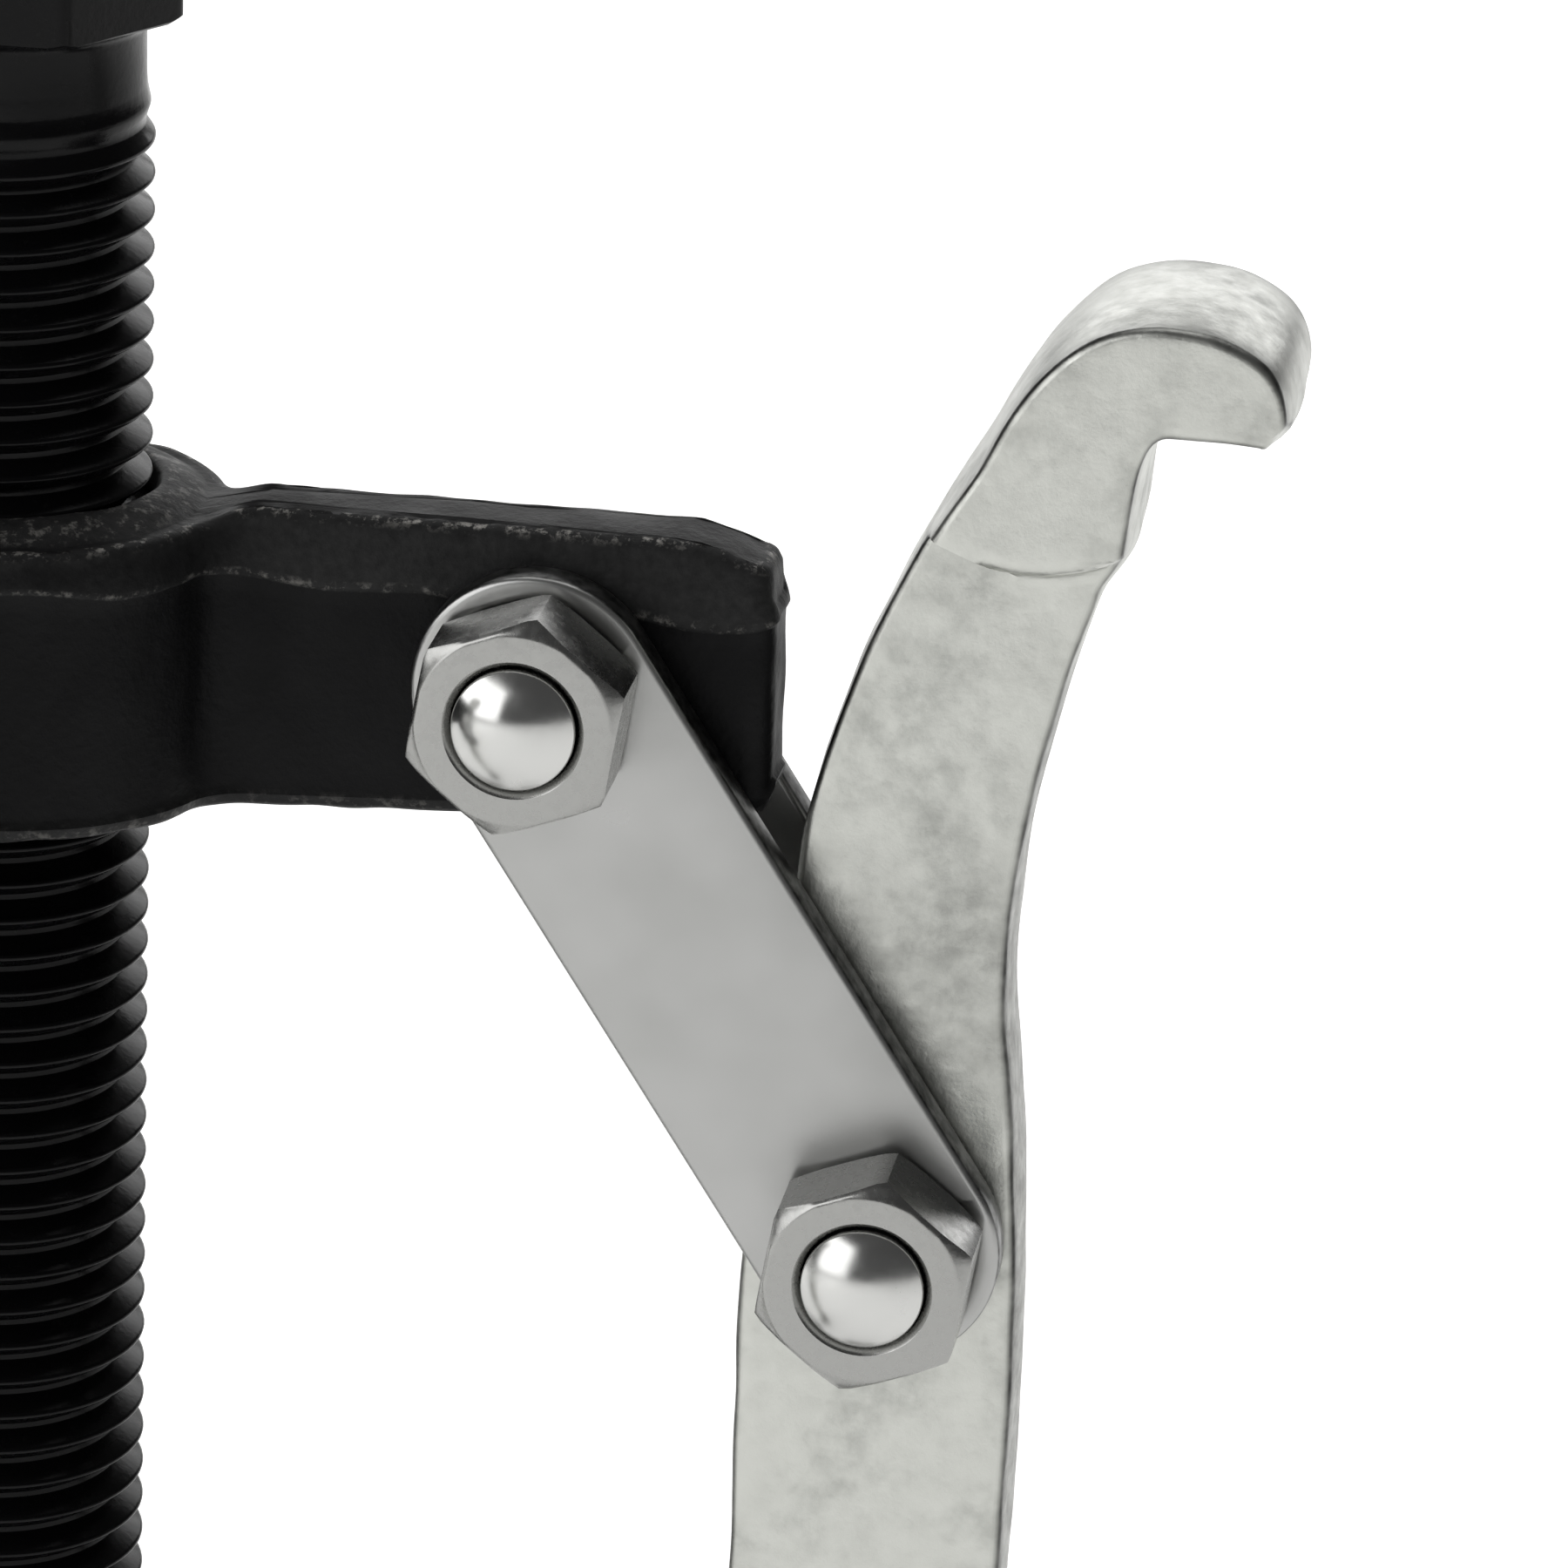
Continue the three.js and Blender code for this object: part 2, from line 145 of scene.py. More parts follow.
class PullerScrewSizes(bpy.types.PropertyGroup):
    """Forcing screw and pressure tip, in millimetres."""

    crest: size("Crest radius", "Radius over the thread's crests", 9.0)
    pitch: size("Pitch", "Distance between thread crests", 2.5)
    depth: size("Thread depth", "From crest to root", 1.5)
    neck: size("Neck radius", "Plain neck under the head", 8.4)
    neck_length: size("Neck length", "Plain length under the head", 4.0)
    runout: size("Runout", "Length over which the thread fades into the neck", 7.5)
    end_bevel: size("End bevel", "Bevel at the screw's lower end", 1.5)
    head_flats: size("Head across flats", "Wrench size of the hexagon head", 19.0)
    head_height: size("Head height", "Height of the hexagon head", 15.0)
    tip_gap: size("Tip gap", "Clearance round the pressure tip", 0.3)
    tip_radius: size("Tip radius", "Radius of the pressure tip", 5.5)
    tip_face: size("Tip face radius", "Radius of the flat end face", 3.0)
    tip_cone: size("Tip cone height", "Height of the tip's cone", 4.5)
    ball: size("Ball radius", "Ball that holds the tip in the screw", 3.6)
    ball_neck: size("Ball neck radius", "Neck between tip and ball", 2.4)
    ball_lip: size("Ball lip height", "Wall of the screw's end below the ball", 1.8)


class PullerYokeSizes(bpy.types.PropertyGroup):
    """Forged yoke, in millimetres."""

    hub: size("Hub radius", "Radius of the threaded hub", 14.6)
    bore: size("Bore radius", "Radius of the screw's bore", 9.3)
    top: size("Hub top", "Hub's top face above the upper pivots", 8.9)
    arm_top: size("Arm top", "Arm's top above the upper pivots, along its level stretch", 9.7)
    arm_top_end: size("Arm top at the end", "Arm's top above the pivots at its end", 8.6)
    arm_root: size("Arm root", "Where the arm's top gets level, from the screw's axis", 17.0)
    end_slope: size("End slope", "Length of the sloping stretch before the arm's end", 6.0)
    arm_bottom: size("Arm bottom", "Underside of hub and arm below the pivots", 10.4)
    arm_bottom_end: size("Arm bottom at the end", "Arm's underside below the pivots at its end",
                         8.6)
    nose: size("Nose radius", "Rounding of the arm's end, seen from the side", 1.8)
    crown: size("Crown", "How far the arm's top stands above its edges", 0.25)
    collar: size("Collar radius", "Foot of the sloped collar round the screw", 12.6)
    collar_rise: size("Collar rise", "Height of the collar above the hub", 1.2)
    valley: size("Valley radius", "Hollow between hub and arm", 3.4)
    end_corner: size("End corner radius", "Upright corners of the arm's end", 2.0)
    milling: size("Milling depth", "How far the flat sides lie below the forged band", 0.22)
    band: size("Band height at the hub", "Forged band left below the top face", 3.8)
    band_end: size("Band height along the arm", "Forged band left below the top face", 4.9)
    scallop: size("Scallop", "How far the lower line of the band wanders", 0.65)
    draft: size("Draft", "How far the band leans in at its top", 0.45)
    edge: size("Edge radius", "Rounding of the upper and lower edges", 1.0)
    unevenness: size("Unevenness", "Depth of the forged skin's dents", 0.05)


class PullerLinkSizes(bpy.types.PropertyGroup):
    """Straps, bolts and nuts, in millimetres."""

    strap_width: size("Strap width", "Width of the strap links", 16.0)
    strap_edge: size("Strap edge", "Rounding of the strap's edges", 0.45)
    hole: size("Hole radius", "Bolt holes in straps, yoke and jaws", 4.3)
    bolt: size("Bolt radius", "Radius of the pivot bolts", 4.0)
    flats: size("Across flats", "Wrench size of nuts and bolt heads", 13.0)
    nut_bore: size("Nut bore", "Radius of the nut's bore", 4.12)
    nut_mouth: size("Nut mouth", "Radius of the bevel at the bore's mouth", 4.5)
    dome: size("Dome height", "Rounded bolt end past the nut", 1.5)
    chamfer: size("Face share", "Flat face of a nut as a share of half its flats", 0.97)
    nut_turn: size("Nut turn", "Angle of the nut's corner from upright, in degrees", 9.2)


class PullerJawSizes(bpy.types.PropertyGroup):
    """Forged jaws, from the lower pivot, in millimetres."""

    inner: size("Inner edge", "Leg's inner edge just below the pivot", 9.8)
    swell: size("Swell", "How far the swell round the pivot reaches up and down", 16.0)
    swell_outer: size("Swell's outer edge", "Outward pull of that swell", 9.4)
    lower_outer: size("Lower outer edge", "Leg's outer edge at the swell's lower end", 8.8)
    waist_outer: size("Waist's outer edge", "Leg's outer edge at the swell's upper end", 7.3)
    waist_inner: size("Waist's inner edge", "Inner edge where the head starts to lean out", 6.5)
    waist_level: size("Waist level", "Height of that place above the pivot", 27.0)
    outer_foot: size("Outer edge at the foot", "Leg's outer edge at the foot", 6.6)
    inner_foot: size("Inner edge at the foot", "Leg's inner edge at the foot", 9.6)
    foot_hook: size("Foot hook height", "Foot hook from its gripping face to the jaw's end", 13.0)
    foot_tip: size("Foot tip height", "Height of the foot hook's tip", 6.5)
    foot_half: size("Foot half width", "Half the foot hook's width", 8.5)
    foot_shoulder: size("Foot shoulder", "Height of the widened foot", 18.0)
    top_hook: size("Top hook height", "Top hook from its gripping face to the jaw's top", 8.0)
    top_half: size("Top half width", "Half the top hook's width", 8.25)
    shoulder: size("Shoulder", "Widened head below the jaw's top", 17.8)
    shoulder_sag: size("Shoulder sag", "Curve of the shoulder line, per millimetre", 0.045)
    head_lower: size("Head's lower side", "Outer side of the head at its lower end", 12.2)
    neck: size("Neck", "Outer side of the widened head under the hook", 14.5)
    back: size("Back", "Back of the head just below the gripping face", 4.5)
    draft: size("Draft", "Lean of the sides as a share of half the thickness", 0.045)
    edge: size("Edge radius", "Rounding between sides and faces", 0.62)
    unevenness: size("Unevenness", "Depth of the forged skin's dents", 0.045)


class PullerFinishes(bpy.types.PropertyGroup):
    """Colours of the finishes."""

    oxide: colour("Black oxide", "Machined screw, blackened and oiled", "080809")
    forging: colour("Forging black", "Yoke, forged and blackened", "0F0F10")
    # Grey of the forged skin, which on the yoke's band and collar also paints light.
    skin_and_light_grey: colour("Forging skin", "Duller skin left on the yoke's edges", "2B2B2B")
    # Pale steel for specks on the yoke's edges: wear through the black, and partly painted
    # highlights.
    pale_specks: colour("Worn steel", "Bare steel where black edges are rubbed", "8C8A86")
    strap: colour("Strap plating", "Bright zinc on rolled strip", "A7A7A6")
    jaw: colour("Jaw plating", "Bright zinc on forged steel", "BFC0BB")
    jaw_shade: colour("Jaw shade", "Duller patches of the jaw's plating", "8E8F8B")
    # Painted shade for the sides of the jaw's leg and for a band round its lower pivot.
    jaw_side_shade: colour("Jaw side", "Trimmed sides of the jaw's leg", "7C7C79")
    # Painted dark reflection along the jaw's edges, where side and face meet.
    seam: colour("Jaw seam", "Dark line where the sides were trimmed", "222221")
    # Painted dark reflection for the sides of the straps.
    strap_side_shade: colour("Strap side", "Sheared sides of the straps", "3A3A39")
    bright: colour("Bright plating", "Nickel on the domed bolt ends", "C2C2C0")
    nut: colour("Nut plating", "Zinc on the nuts", "9A9A98")
    tip: colour("Hardened steel", "Ground pressure tip", "8D8F93")
    paper: colour("Floor", "Pale studio floor", "F4F4F3")


class PullerStage(bpy.types.PropertyGroup):
    """Camera and light. Lengths in millimetres, angles in degrees."""

    camera_x: size("Camera X", "Camera's place", 125.9)
    camera_y: size("Camera Y", "Camera's place", -524.48)
    camera_z: size("Camera Z", "Camera's place", 313.34)
    azimuth: size("Azimuth", "Camera's direction round the object", 8.12)
    elevation: size("Elevation", "Camera's direction above the horizon", 19.66)
    roll: size("Roll", "Camera's lean", 2.05)
    lens: size("Lens", "Focal length on a 36 mm sensor", 200.0)
    floor_radius: size("Floor radius", "Radius of the pale floor", 9000.0)
    floor_glow: size("Floor glow", "Light that the pale floor returns by itself", 0.72)
    key_power: size("Key power", "Soft box at the front left, in watts", 11.0)
    back_power: size("Back power", "Soft box behind, in watts", 15.0)
    top_power: size("Top power", "Soft box overhead, in watts", 11.0)
    dim: size("Room light", "Light from the rest of the room", 0.09)


SETTINGS = {
    "puller_screw": PullerScrewSizes,
    "puller_yoke": PullerYokeSizes,
    "puller_links": PullerLinkSizes,
    "puller_jaws": PullerJawSizes,
    "puller_finishes": PullerFinishes,
    "puller_stage": PullerStage,
}


# ---- Curves and surfaces ----

def unit(vectors):
    return vectors / np.maximum(np.linalg.norm(vectors, axis=-1, keepdims=True), SMALL)


def smooth(t):
    """Rises from 0 to 1 as t does, with level ends: 3t^2 - 2t^3."""
    t = np.clip(t, 0, 1)
    return t * t * (3 - 2 * t)


def blend(a, b, t):
    return a + (b - a) * t


def straight(a, b, count=12):
    """Points on a straight line from a to b."""
    return blend(np.array(a, float), np.array(b, float), np.linspace(0, 1, count)[:, None])


def arc(centre, radius, start, end, count=12):
    """Points on a circle's arc: centre plus radius times the cosine and sine of each angle."""
    angles = np.linspace(start, end, count)
    return np.array(centre) + radius * np.stack([np.cos(angles), np.sin(angles)], axis=1)


def bend(a, control, b, count=24):
    """Points on a quadratic Bezier curve from a to b."""
    t = np.linspace(0, 1, count)[:, None]
    a, control, b = (np.array(p, float) for p in (a, control, b))
    return (1 - t) ** 2 * a + 2 * t * (1 - t) * control + t ** 2 * b


def joined(*paths):
    """One path from several that follow each other, without the repeated joints."""
    return np.concatenate([paths[0]] + [path[1:] for path in paths[1:]])


def evenly(path, count):
    """The same path with its points at equal distances along it."""
    steps = np.linalg.norm(np.diff(path, axis=0), axis=1)
    along = np.concatenate([[0], np.cumsum(steps)])
    wanted = np.linspace(0, along[-1], count)
    return np.stack([np.interp(wanted, along, path[:, i]) for i in range(path.shape[1])], axis=1)


def eased(path, rounds):
    """A path with its kinks eased: each inner point moves half way to its neighbours' middle."""
    for _ in range(rounds):
        path = np.concatenate([path[:1], path[1:-1] / 2 + (path[:-2] + path[2:]) / 4, path[-1:]])
    return path


def grid_faces(rows, columns, first=0):
    """Quads of a grid of points, row by row, whose first point has that number."""
    corner = first + np.arange(rows - 1)[:, None] * columns + np.arange(columns - 1)[None, :]
    quads = np.stack([corner, corner + 1, corner + columns + 1, corner + columns], axis=-1)
    return quads.reshape(-1, 4)


def ringed(grid):
    """A grid whose last column repeats the first, so that each row closes."""
    return np.concatenate([grid, grid[:, :1]], axis=1)


def rings(radii, levels, angles):
    """Rows of points about Z: each row is a radius, or a radius per angle, at its level."""
    count = len(angles)
    radius = np.stack([np.broadcast_to(r, count) for r in radii])
    level = np.stack([np.broadcast_to(z, count) for z in levels])
    return np.stack([radius * np.cos(angles), radius * np.sin(angles), level], axis=-1)


def laid_along_y(grid):
    """Turns a shape made along Z so that it lies along -Y, with its X kept."""
    return np.stack([grid[..., 0], -grid[..., 2], grid[..., 1]], axis=-1)


def ripple(points, wavelength, seed):
    """Unevenness between about -1 and 1: the mean of plane waves in seeded directions."""
    waves = 14
    random = np.random.default_rng(seed)
    directions = unit(random.normal(size=(waves, 3)))
    lengths = wavelength * random.uniform(0.6, 1.7, waves)
    phases = random.uniform(0, TURN, waves)
    heights = np.sin(points @ (directions / lengths[:, None]).T * TURN + phases)
    return heights.sum(axis=1) / math.sqrt(waves)


def make_mesh(name, grids, attributes=(), sharp_angle=32):
    """A closed mesh from grids of points in millimetres.

    Coincident points are merged, which closes seams and poles, faces that vanish are dropped, and
    all faces are turned outward. Each attribute is a name with one array of values per grid.
    """
    points = np.concatenate([grid.reshape(-1, 3) for grid in grids]) * MM
    firsts = np.cumsum([0] + [grid.shape[0] * grid.shape[1] for grid in grids[:-1]])
    faces = [grid_faces(*grid.shape[:2], first) for grid, first in zip(grids, firsts)]
    mesh = bpy.data.meshes.new(name)
    mesh.from_pydata(points, [], np.concatenate(faces).tolist())
    for label, values in attributes:
        layer = mesh.attributes.new(label, "FLOAT", "POINT")
        layer.data.foreach_set("value", np.concatenate([v.ravel() for v in values]))
    tidy = bmesh.new()
    tidy.from_mesh(mesh)
    bmesh.ops.remove_doubles(tidy, verts=tidy.verts, dist=MERGE)
    bmesh.ops.dissolve_degenerate(tidy, edges=tidy.edges, dist=VANISHED)
    bmesh.ops.recalc_face_normals(tidy, faces=tidy.faces)
    tidy.to_mesh(mesh)
    tidy.free()
    mesh.shade_smooth()
    mesh.set_sharp_from_angle(angle=math.radians(sharp_angle))
    return mesh


def roughen(mesh, depth, wavelength, seed):
    """Moves each point along its normal by an unevenness of that depth, both in millimetres."""
    count = len(mesh.vertices)
    places, normals = np.empty(count * 3), np.empty(count * 3)
    mesh.vertices.foreach_get("co", places)
    mesh.vertices.foreach_get("normal", normals)
    places, normals = places.reshape(-1, 3), normals.reshape(-1, 3)
    height = depth * MM * ripple(places / MM, wavelength, seed)
    mesh.vertices.foreach_set("co", (places + normals * height[:, None]).ravel())
    mesh.update()


def turned_about_screw(grids, arm):
    """The same grids on arm 1, 2 or 3, turned about Z."""
    angle = (arm - 1) * TURN / len(ARMS)
    turn = np.array([
        [math.cos(angle), -math.sin(angle), 0],
        [math.sin(angle), math.cos(angle), 0],
        [0, 0, 1],
    ])
    return [grid @ turn.T for grid in grids]


def drill(mesh, across, arm, radius, half_length):
    """Cuts a round hole through a mesh, square to an arm's plane, at a point across = (x, z)."""
    angles = np.linspace(0, TURN, ROD_POINTS)
    levels = [-half_length, -half_length, half_length, half_length]
    rod = laid_along_y(rings([0, radius, radius, 0], levels, angles))
    rod = rod + np.array([across[0], 0, across[1]])
    cutter = bpy.data.objects.new("drill", make_mesh("drill", turned_about_screw([rod], arm)))
    piece = bpy.data.objects.new("drilled", mesh)
    for item in (cutter, piece):
        bpy.context.scene.collection.objects.link(item)
    cut = piece.modifiers.new("hole", "BOOLEAN")
    cut.object, cut.operation, cut.solver = cutter, "DIFFERENCE", "EXACT"
    graph = bpy.context.evaluated_depsgraph_get()
    result = bpy.data.meshes.new_from_object(piece.evaluated_get(graph))
    for item in (cutter, piece):
        bpy.data.objects.remove(item)
    return result


def add_piece(name, mesh, body, node, material):
    """Puts a finished mesh into the scene in place of its CAD node."""
    mesh.name = name
    mesh.materials.clear()
    mesh.materials.append(material)
    piece = bpy.data.objects.new(name, mesh)
    bpy.context.scene.collection.objects.link(piece)
    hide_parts(node)
    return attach(piece, body)


# ---- Hexagons ----

def hexagon_angles():
    """Angles of a full turn, closer together round a hexagon's six corners."""
    half = np.array([0, 1.6, 3.2, 6, 10, 15, 20, 25])
    sector = np.concatenate([-half[:0:-1], half, [30]])
    turns = np.arange(6)[:, None] * 60
    return np.radians(np.concatenate([(turns + sector[None, :]).ravel(), [360 + sector[0]]]))


def hexagon_reach(angles, across_flats, rounding=0.5):
    """Distance from a hexagon's centre to its side at each angle, with corners at 0, 60, ...

    On a flat it is half the width over flats divided by the cosine of the angle from the flat's
    middle. Near a corner it follows a small circle that touches both flats.
    """
    half = across_flats / 2
    slant = math.pi / 6
    off_corner = np.abs((angles + slant) % (2 * slant) - slant)
    flat = half / np.cos(slant - off_corner)
    centre = (half - rounding) / math.cos(slant)
    limit = math.atan2(rounding * math.sin(slant), centre + rounding * math.cos(slant))
    across = np.minimum(centre * np.sin(off_corner), rounding)
    corner = centre * np.cos(off_corner) + np.sqrt(rounding ** 2 - across ** 2)
    return np.where(off_corner < limit, corner, flat)


def hexagon_rows(angles, across_flats, low, high, low_share=0.95, high_share=0.95, turn=0.0):
    """Radii and levels of a hexagon whose ends are turned off by a cone of 30 degrees.

    The cone meets the hexagon lower at the corners than at the flats, which gives the arcs on the
    sides. A short row on each side of every break rounds it a little.
    """
    reach = hexagon_reach(angles - turn, across_flats)
    soft = 0.12

    def turned_end(share):
        """Radii and depths of one end, from its flat face to the hexagon's sides."""
        face = np.minimum(share * across_flats / 2, reach - 2.5 * soft)
        drop = (reach - face) * math.tan(math.pi / 6)
        return ([face - soft, face, face + soft, reach - soft, reach, reach],
                [0, soft / 8, soft / 2, drop - soft / 2, drop + soft / 2, drop + 2 * soft])

    low_radii, low_depths = turned_end(low_share)
    high_radii, high_depths = turned_end(high_share)
    levels = [low + depth for depth in low_depths] + [high - depth for depth in high_depths[::-1]]
    return low_radii + high_radii[::-1], levels


# ---- Materials ----

def finish(name, base, roughness, metallic, specular=0.5):
    """A new material with its Principled shader's own values set. Returns the material and a
    function that adds a node with its settings and links."""
    material = bpy.data.materials.get(name)
    if material:
        return material, None, None
    material = bpy.data.materials.new(name)
    material.use_nodes = True
    tree = material.node_tree
    shader = tree.nodes["Principled BSDF"]
    shader.inputs["Base Color"].default_value = base
    shader.inputs["Roughness"].default_value = roughness
    shader.inputs["Metallic"].default_value = metallic
    shader.inputs["Specular IOR Level"].default_value = specular

    def add(kind, settings=(), **links):
        """Adds a node. Settings name attributes or inputs, links name inputs and their sources."""
        node = tree.nodes.new("ShaderNode" + kind)
        for key, value in dict(settings).items():
            if hasattr(node, key):
                setattr(node, key, value)
            else:
                node.inputs[key].default_value = value
        for key, source in links.items():
            tree.links.new(source, node.inputs[key.replace("_", " ")])
        return node

    return material, shader, add


def object_noise(add, grain_mm, detail=3.0, roughness=0.55, stretch=None):
    """Noise on Object coordinates whose cells are about grain_mm wide."""
    place = add("TexCoord").outputs["Object"]
    if stretch:
        place = add("Mapping", {"Scale": stretch}, Vector=place).outputs["Vector"]
    return add("TexNoise", {"Scale": 1 / (grain_mm * MM), "Detail": detail, "Roughness": roughness},
               Vector=place).outputs["Fac"]


def remap(add, value, low, high, to_low, to_high):
    """The value's range from low to high, mapped to another range and held at its ends."""
    settings = {"From Min": low, "From Max": high, "To Min": to_low, "To Max": to_high}
    return add("MapRange", settings, Value=value).outputs["Result"]


def mix_colours(add, factor, a, b):
    """Colour a where the factor is 0 and b where it is 1. Each is a colour or an output."""
    node = add("Mix", {"data_type": "RGBA"})
    tree = node.id_data
    tree.links.new(factor, node.inputs[0])
    for socket, value in ((node.inputs[6], a), (node.inputs[7], b)):
        if isinstance(value, bpy.types.NodeSocket):
            tree.links.new(value, socket)
        else:
            socket.default_value = value
    return node.outputs[2]


def times(add, a, b):
    node = add("Math", {"operation": "MULTIPLY"})
    node.id_data.links.new(a, node.inputs[0])
    if isinstance(b, bpy.types.NodeSocket):
        node.id_data.links.new(b, node.inputs[1])
    else:
        node.inputs[1].default_value = b
    return node.outputs[0]


def drive(shader, **links):
    """Links outputs to the shader's inputs by name."""
    for key, source in links.items():
        shader.id_data.links.new(source, shader.inputs[key.replace("_", " ")])


def bump(add, height, depth_mm, strength=1.0):
    """A normal from a height of 0 to 1 that stands for depth_mm."""
    settings = {"Strength": strength, "Distance": depth_mm * MM}
    return add("Bump", settings, Height=height).outputs["Normal"]


def black_oxide_steel():
    """Machined steel, blackened in a hot salt bath and oiled: deep black with sharp wet glints on
    the thread's flanks, and faint turning marks."""
    colours = bpy.context.scene.puller_finishes
    material, shader, add = finish("Black oxide machined steel", colours.oxide, 0.24, 0.0, 0.12)
    if shader:
        blotch = object_noise(add, 3.5)
        fine = object_noise(add, 0.5, detail=4)
        pale_specks = times(add, remap(add, fine, 0.6, 0.78, 0, 0.35),
                     remap(add, blotch, 0.45, 0.65, 0, 1))
        drive(shader, Base_Color=mix_colours(add, pale_specks, colours.oxide, colours.skin_and_light_grey),
              Roughness=remap(add, blotch, 0.3, 0.7, 0.18, 0.32),
              Normal=bump(add, fine, 0.03, 0.6))
    return material


def black_forged_steel():
    """Drop-forged steel, shot-blasted and blackened: near-black and dull, finely pitted, and greyer
    on the skin left along the edges, where the grey also paints light on the band and the collar.
    Pale steel specks on the edges themselves are wear through the black, and partly painted
    highlights where the edges catch the light."""
    colours = bpy.context.scene.puller_finishes
    material, shader, add = finish("Black drop-forged steel", colours.forging, 0.5, 0.0, 0.1)
    if shader:
        # Skin grey: forged skin, and painted light on the band and the collar.
        skin = add("Attribute", {"attribute_name": "skin"}).outputs["Fac"]
        # Pale specks: wear on the edges, and partly painted highlights where they catch the light.
        rubbed = add("Attribute", {"attribute_name": "rubbed"}).outputs["Fac"]
        pits = object_noise(add, 0.7, detail=5, roughness=0.6)
        blotch = object_noise(add, 5.0)
        specks = object_noise(add, 0.9, detail=5, roughness=0.7)
        grey = times(add, skin, remap(add, pits, 0.3, 0.7, 0.45, 1.0))
        bright_specks = times(add, rubbed, remap(add, specks, 0.52, 0.64, 0.0, 1.0))
        skin_and_light_colour = mix_colours(add, grey, colours.forging, colours.skin_and_light_grey)
        drive(shader, Base_Color=mix_colours(add, bright_specks, skin_and_light_colour, colours.pale_specks),
              Metallic=times(add, bright_specks, 0.8),
              Roughness=remap(add, blotch, 0.3, 0.7, 0.42, 0.58),
              Normal=bump(add, pits, 0.12, 0.7))
    return material


def zinc_plated_strip():
    """Rolled strip, cut by shearing, tumbled and bright zinc plated: an even satin grey with very
    faint grain and slight clouds, and sides painted dark as a reflection, broken by a mottle."""
    colours = bpy.context.scene.puller_finishes
    material, shader, add = finish("Zinc plated rolled strip", colours.strap, 0.3, 1.0)
    if shader:
        clouds = object_noise(add, 9.0, detail=2)
        fine = object_noise(add, 0.35, detail=3)
        # Painted dark reflection on the bar's sides, broken by a mottle of noise.
        sheared = add("Attribute", {"attribute_name": "sheared"}).outputs["Fac"]
        side_mottle = object_noise(add, 1.0, detail=4)
        side_darkening = times(add, sheared, remap(add, side_mottle, 0.35, 0.65, 0.5, 1.0))
        cloud = remap(add, clouds, 0.3, 0.7, 0, 0.22)
        face = mix_colours(add, cloud, colours.strap, colours.jaw_shade)
        drive(shader, Base_Color=mix_colours(add, side_darkening, face, colours.strap_side_shade),
              Roughness=remap(add, clouds, 0.3, 0.7, 0.27, 0.36),
              Normal=bump(add, fine, 0.008, 0.5))
    return material


def zinc_plated_forging():
    """Drop-forged steel, with the flash cut from its sides, and bright zinc plated: a light satin
    with a mottled, slightly dented skin and duller patches a few millimetres wide. The leg's sides
    and a band round the pivot are greyed as painted shade, and a painted dark reflection lines the
    edge where side and face meet."""
    colours = bpy.context.scene.puller_finishes
    material, shader, add = finish("Zinc plated forged steel", colours.jaw, 0.36, 1.0)
    if shader:
        patches = object_noise(add, 7.0, detail=4, roughness=0.6)
        mottle = object_noise(add, 1.6, detail=5, roughness=0.65)
        fine = object_noise(add, 0.45, detail=4)
        dull = times(add, remap(add, patches, 0.48, 0.72, 0.0, 0.75),
                     remap(add, mottle, 0.3, 0.6, 0.3, 1.0))
        # Painted dark reflection along the edges, broken by the patches.
        seam = add("Attribute", {"attribute_name": "seam"}).outputs["Fac"]
        # Painted shade on the leg's sides and on a band round the pivot.
        trimmed = add("Attribute", {"attribute_name": "trimmed"}).outputs["Fac"]
        plated = mix_colours(add, dull, colours.jaw, colours.jaw_shade)
        greyed = times(add, trimmed, remap(add, mottle, 0.3, 0.7, 0.65, 1.0))
        sides = mix_colours(add, greyed, plated, colours.jaw_side_shade)
        line = times(add, seam, remap(add, patches, 0.35, 0.6, 0.45, 0.95))
        drive(shader, Base_Color=mix_colours(add, line, sides, colours.seam),
              Roughness=remap(add, mottle, 0.3, 0.7, 0.3, 0.46),
              Normal=bump(add, mottle, 0.09, 0.55))
        fine_normal = bump(add, fine, 0.02, 0.5)
        shader.id_data.links.new(shader.inputs["Normal"].links[0].from_socket,
                                 fine_normal.node.inputs["Normal"])
        drive(shader, Normal=fine_normal)
    return material


def bright_nickel():
    """Cold-headed bolts, barrelled and nickel plated: clear mirrors with slight waves."""
    colours = bpy.context.scene.puller_finishes
    material, shader, add = finish("Bright nickel plated steel", colours.bright, 0.16, 1.0)
    if shader:
        waves = object_noise(add, 2.2, detail=3)
        drive(shader, Roughness=remap(add, waves, 0.3, 0.7, 0.16, 0.28),
              Normal=bump(add, waves, 0.02, 0.5))
    return material


def zinc_plated_nut():
    """Pressed nuts, barrelled and zinc plated: a grey, slightly soft mirror with fine scuffs."""
    colours = bpy.context.scene.puller_finishes
    material, shader, add = finish("Zinc plated pressed nut", colours.nut, 0.24, 1.0)
    if shader:
        scuffs = object_noise(add, 0.8, detail=4)
        drive(shader, Roughness=remap(add, scuffs, 0.3, 0.7, 0.2, 0.32),
              Normal=bump(add, scuffs, 0.015, 0.6))
    return material


def hardened_steel():
    """Turned, hardened and ground steel: darker and less clear than plating."""
    colours = bpy.context.scene.puller_finishes
    material, shader, add = finish("Hardened ground steel", colours.tip, 0.28, 1.0)
    if shader:
        rings_of_grinding = object_noise(add, 1.2, detail=3, stretch=(0.2, 0.2, 3.0))
        drive(shader, Roughness=remap(add, rings_of_grinding, 0.3, 0.7, 0.22, 0.38),
              Normal=bump(add, rings_of_grinding, 0.01, 0.5))
    return material


# ---- Forcing screw and tip ----

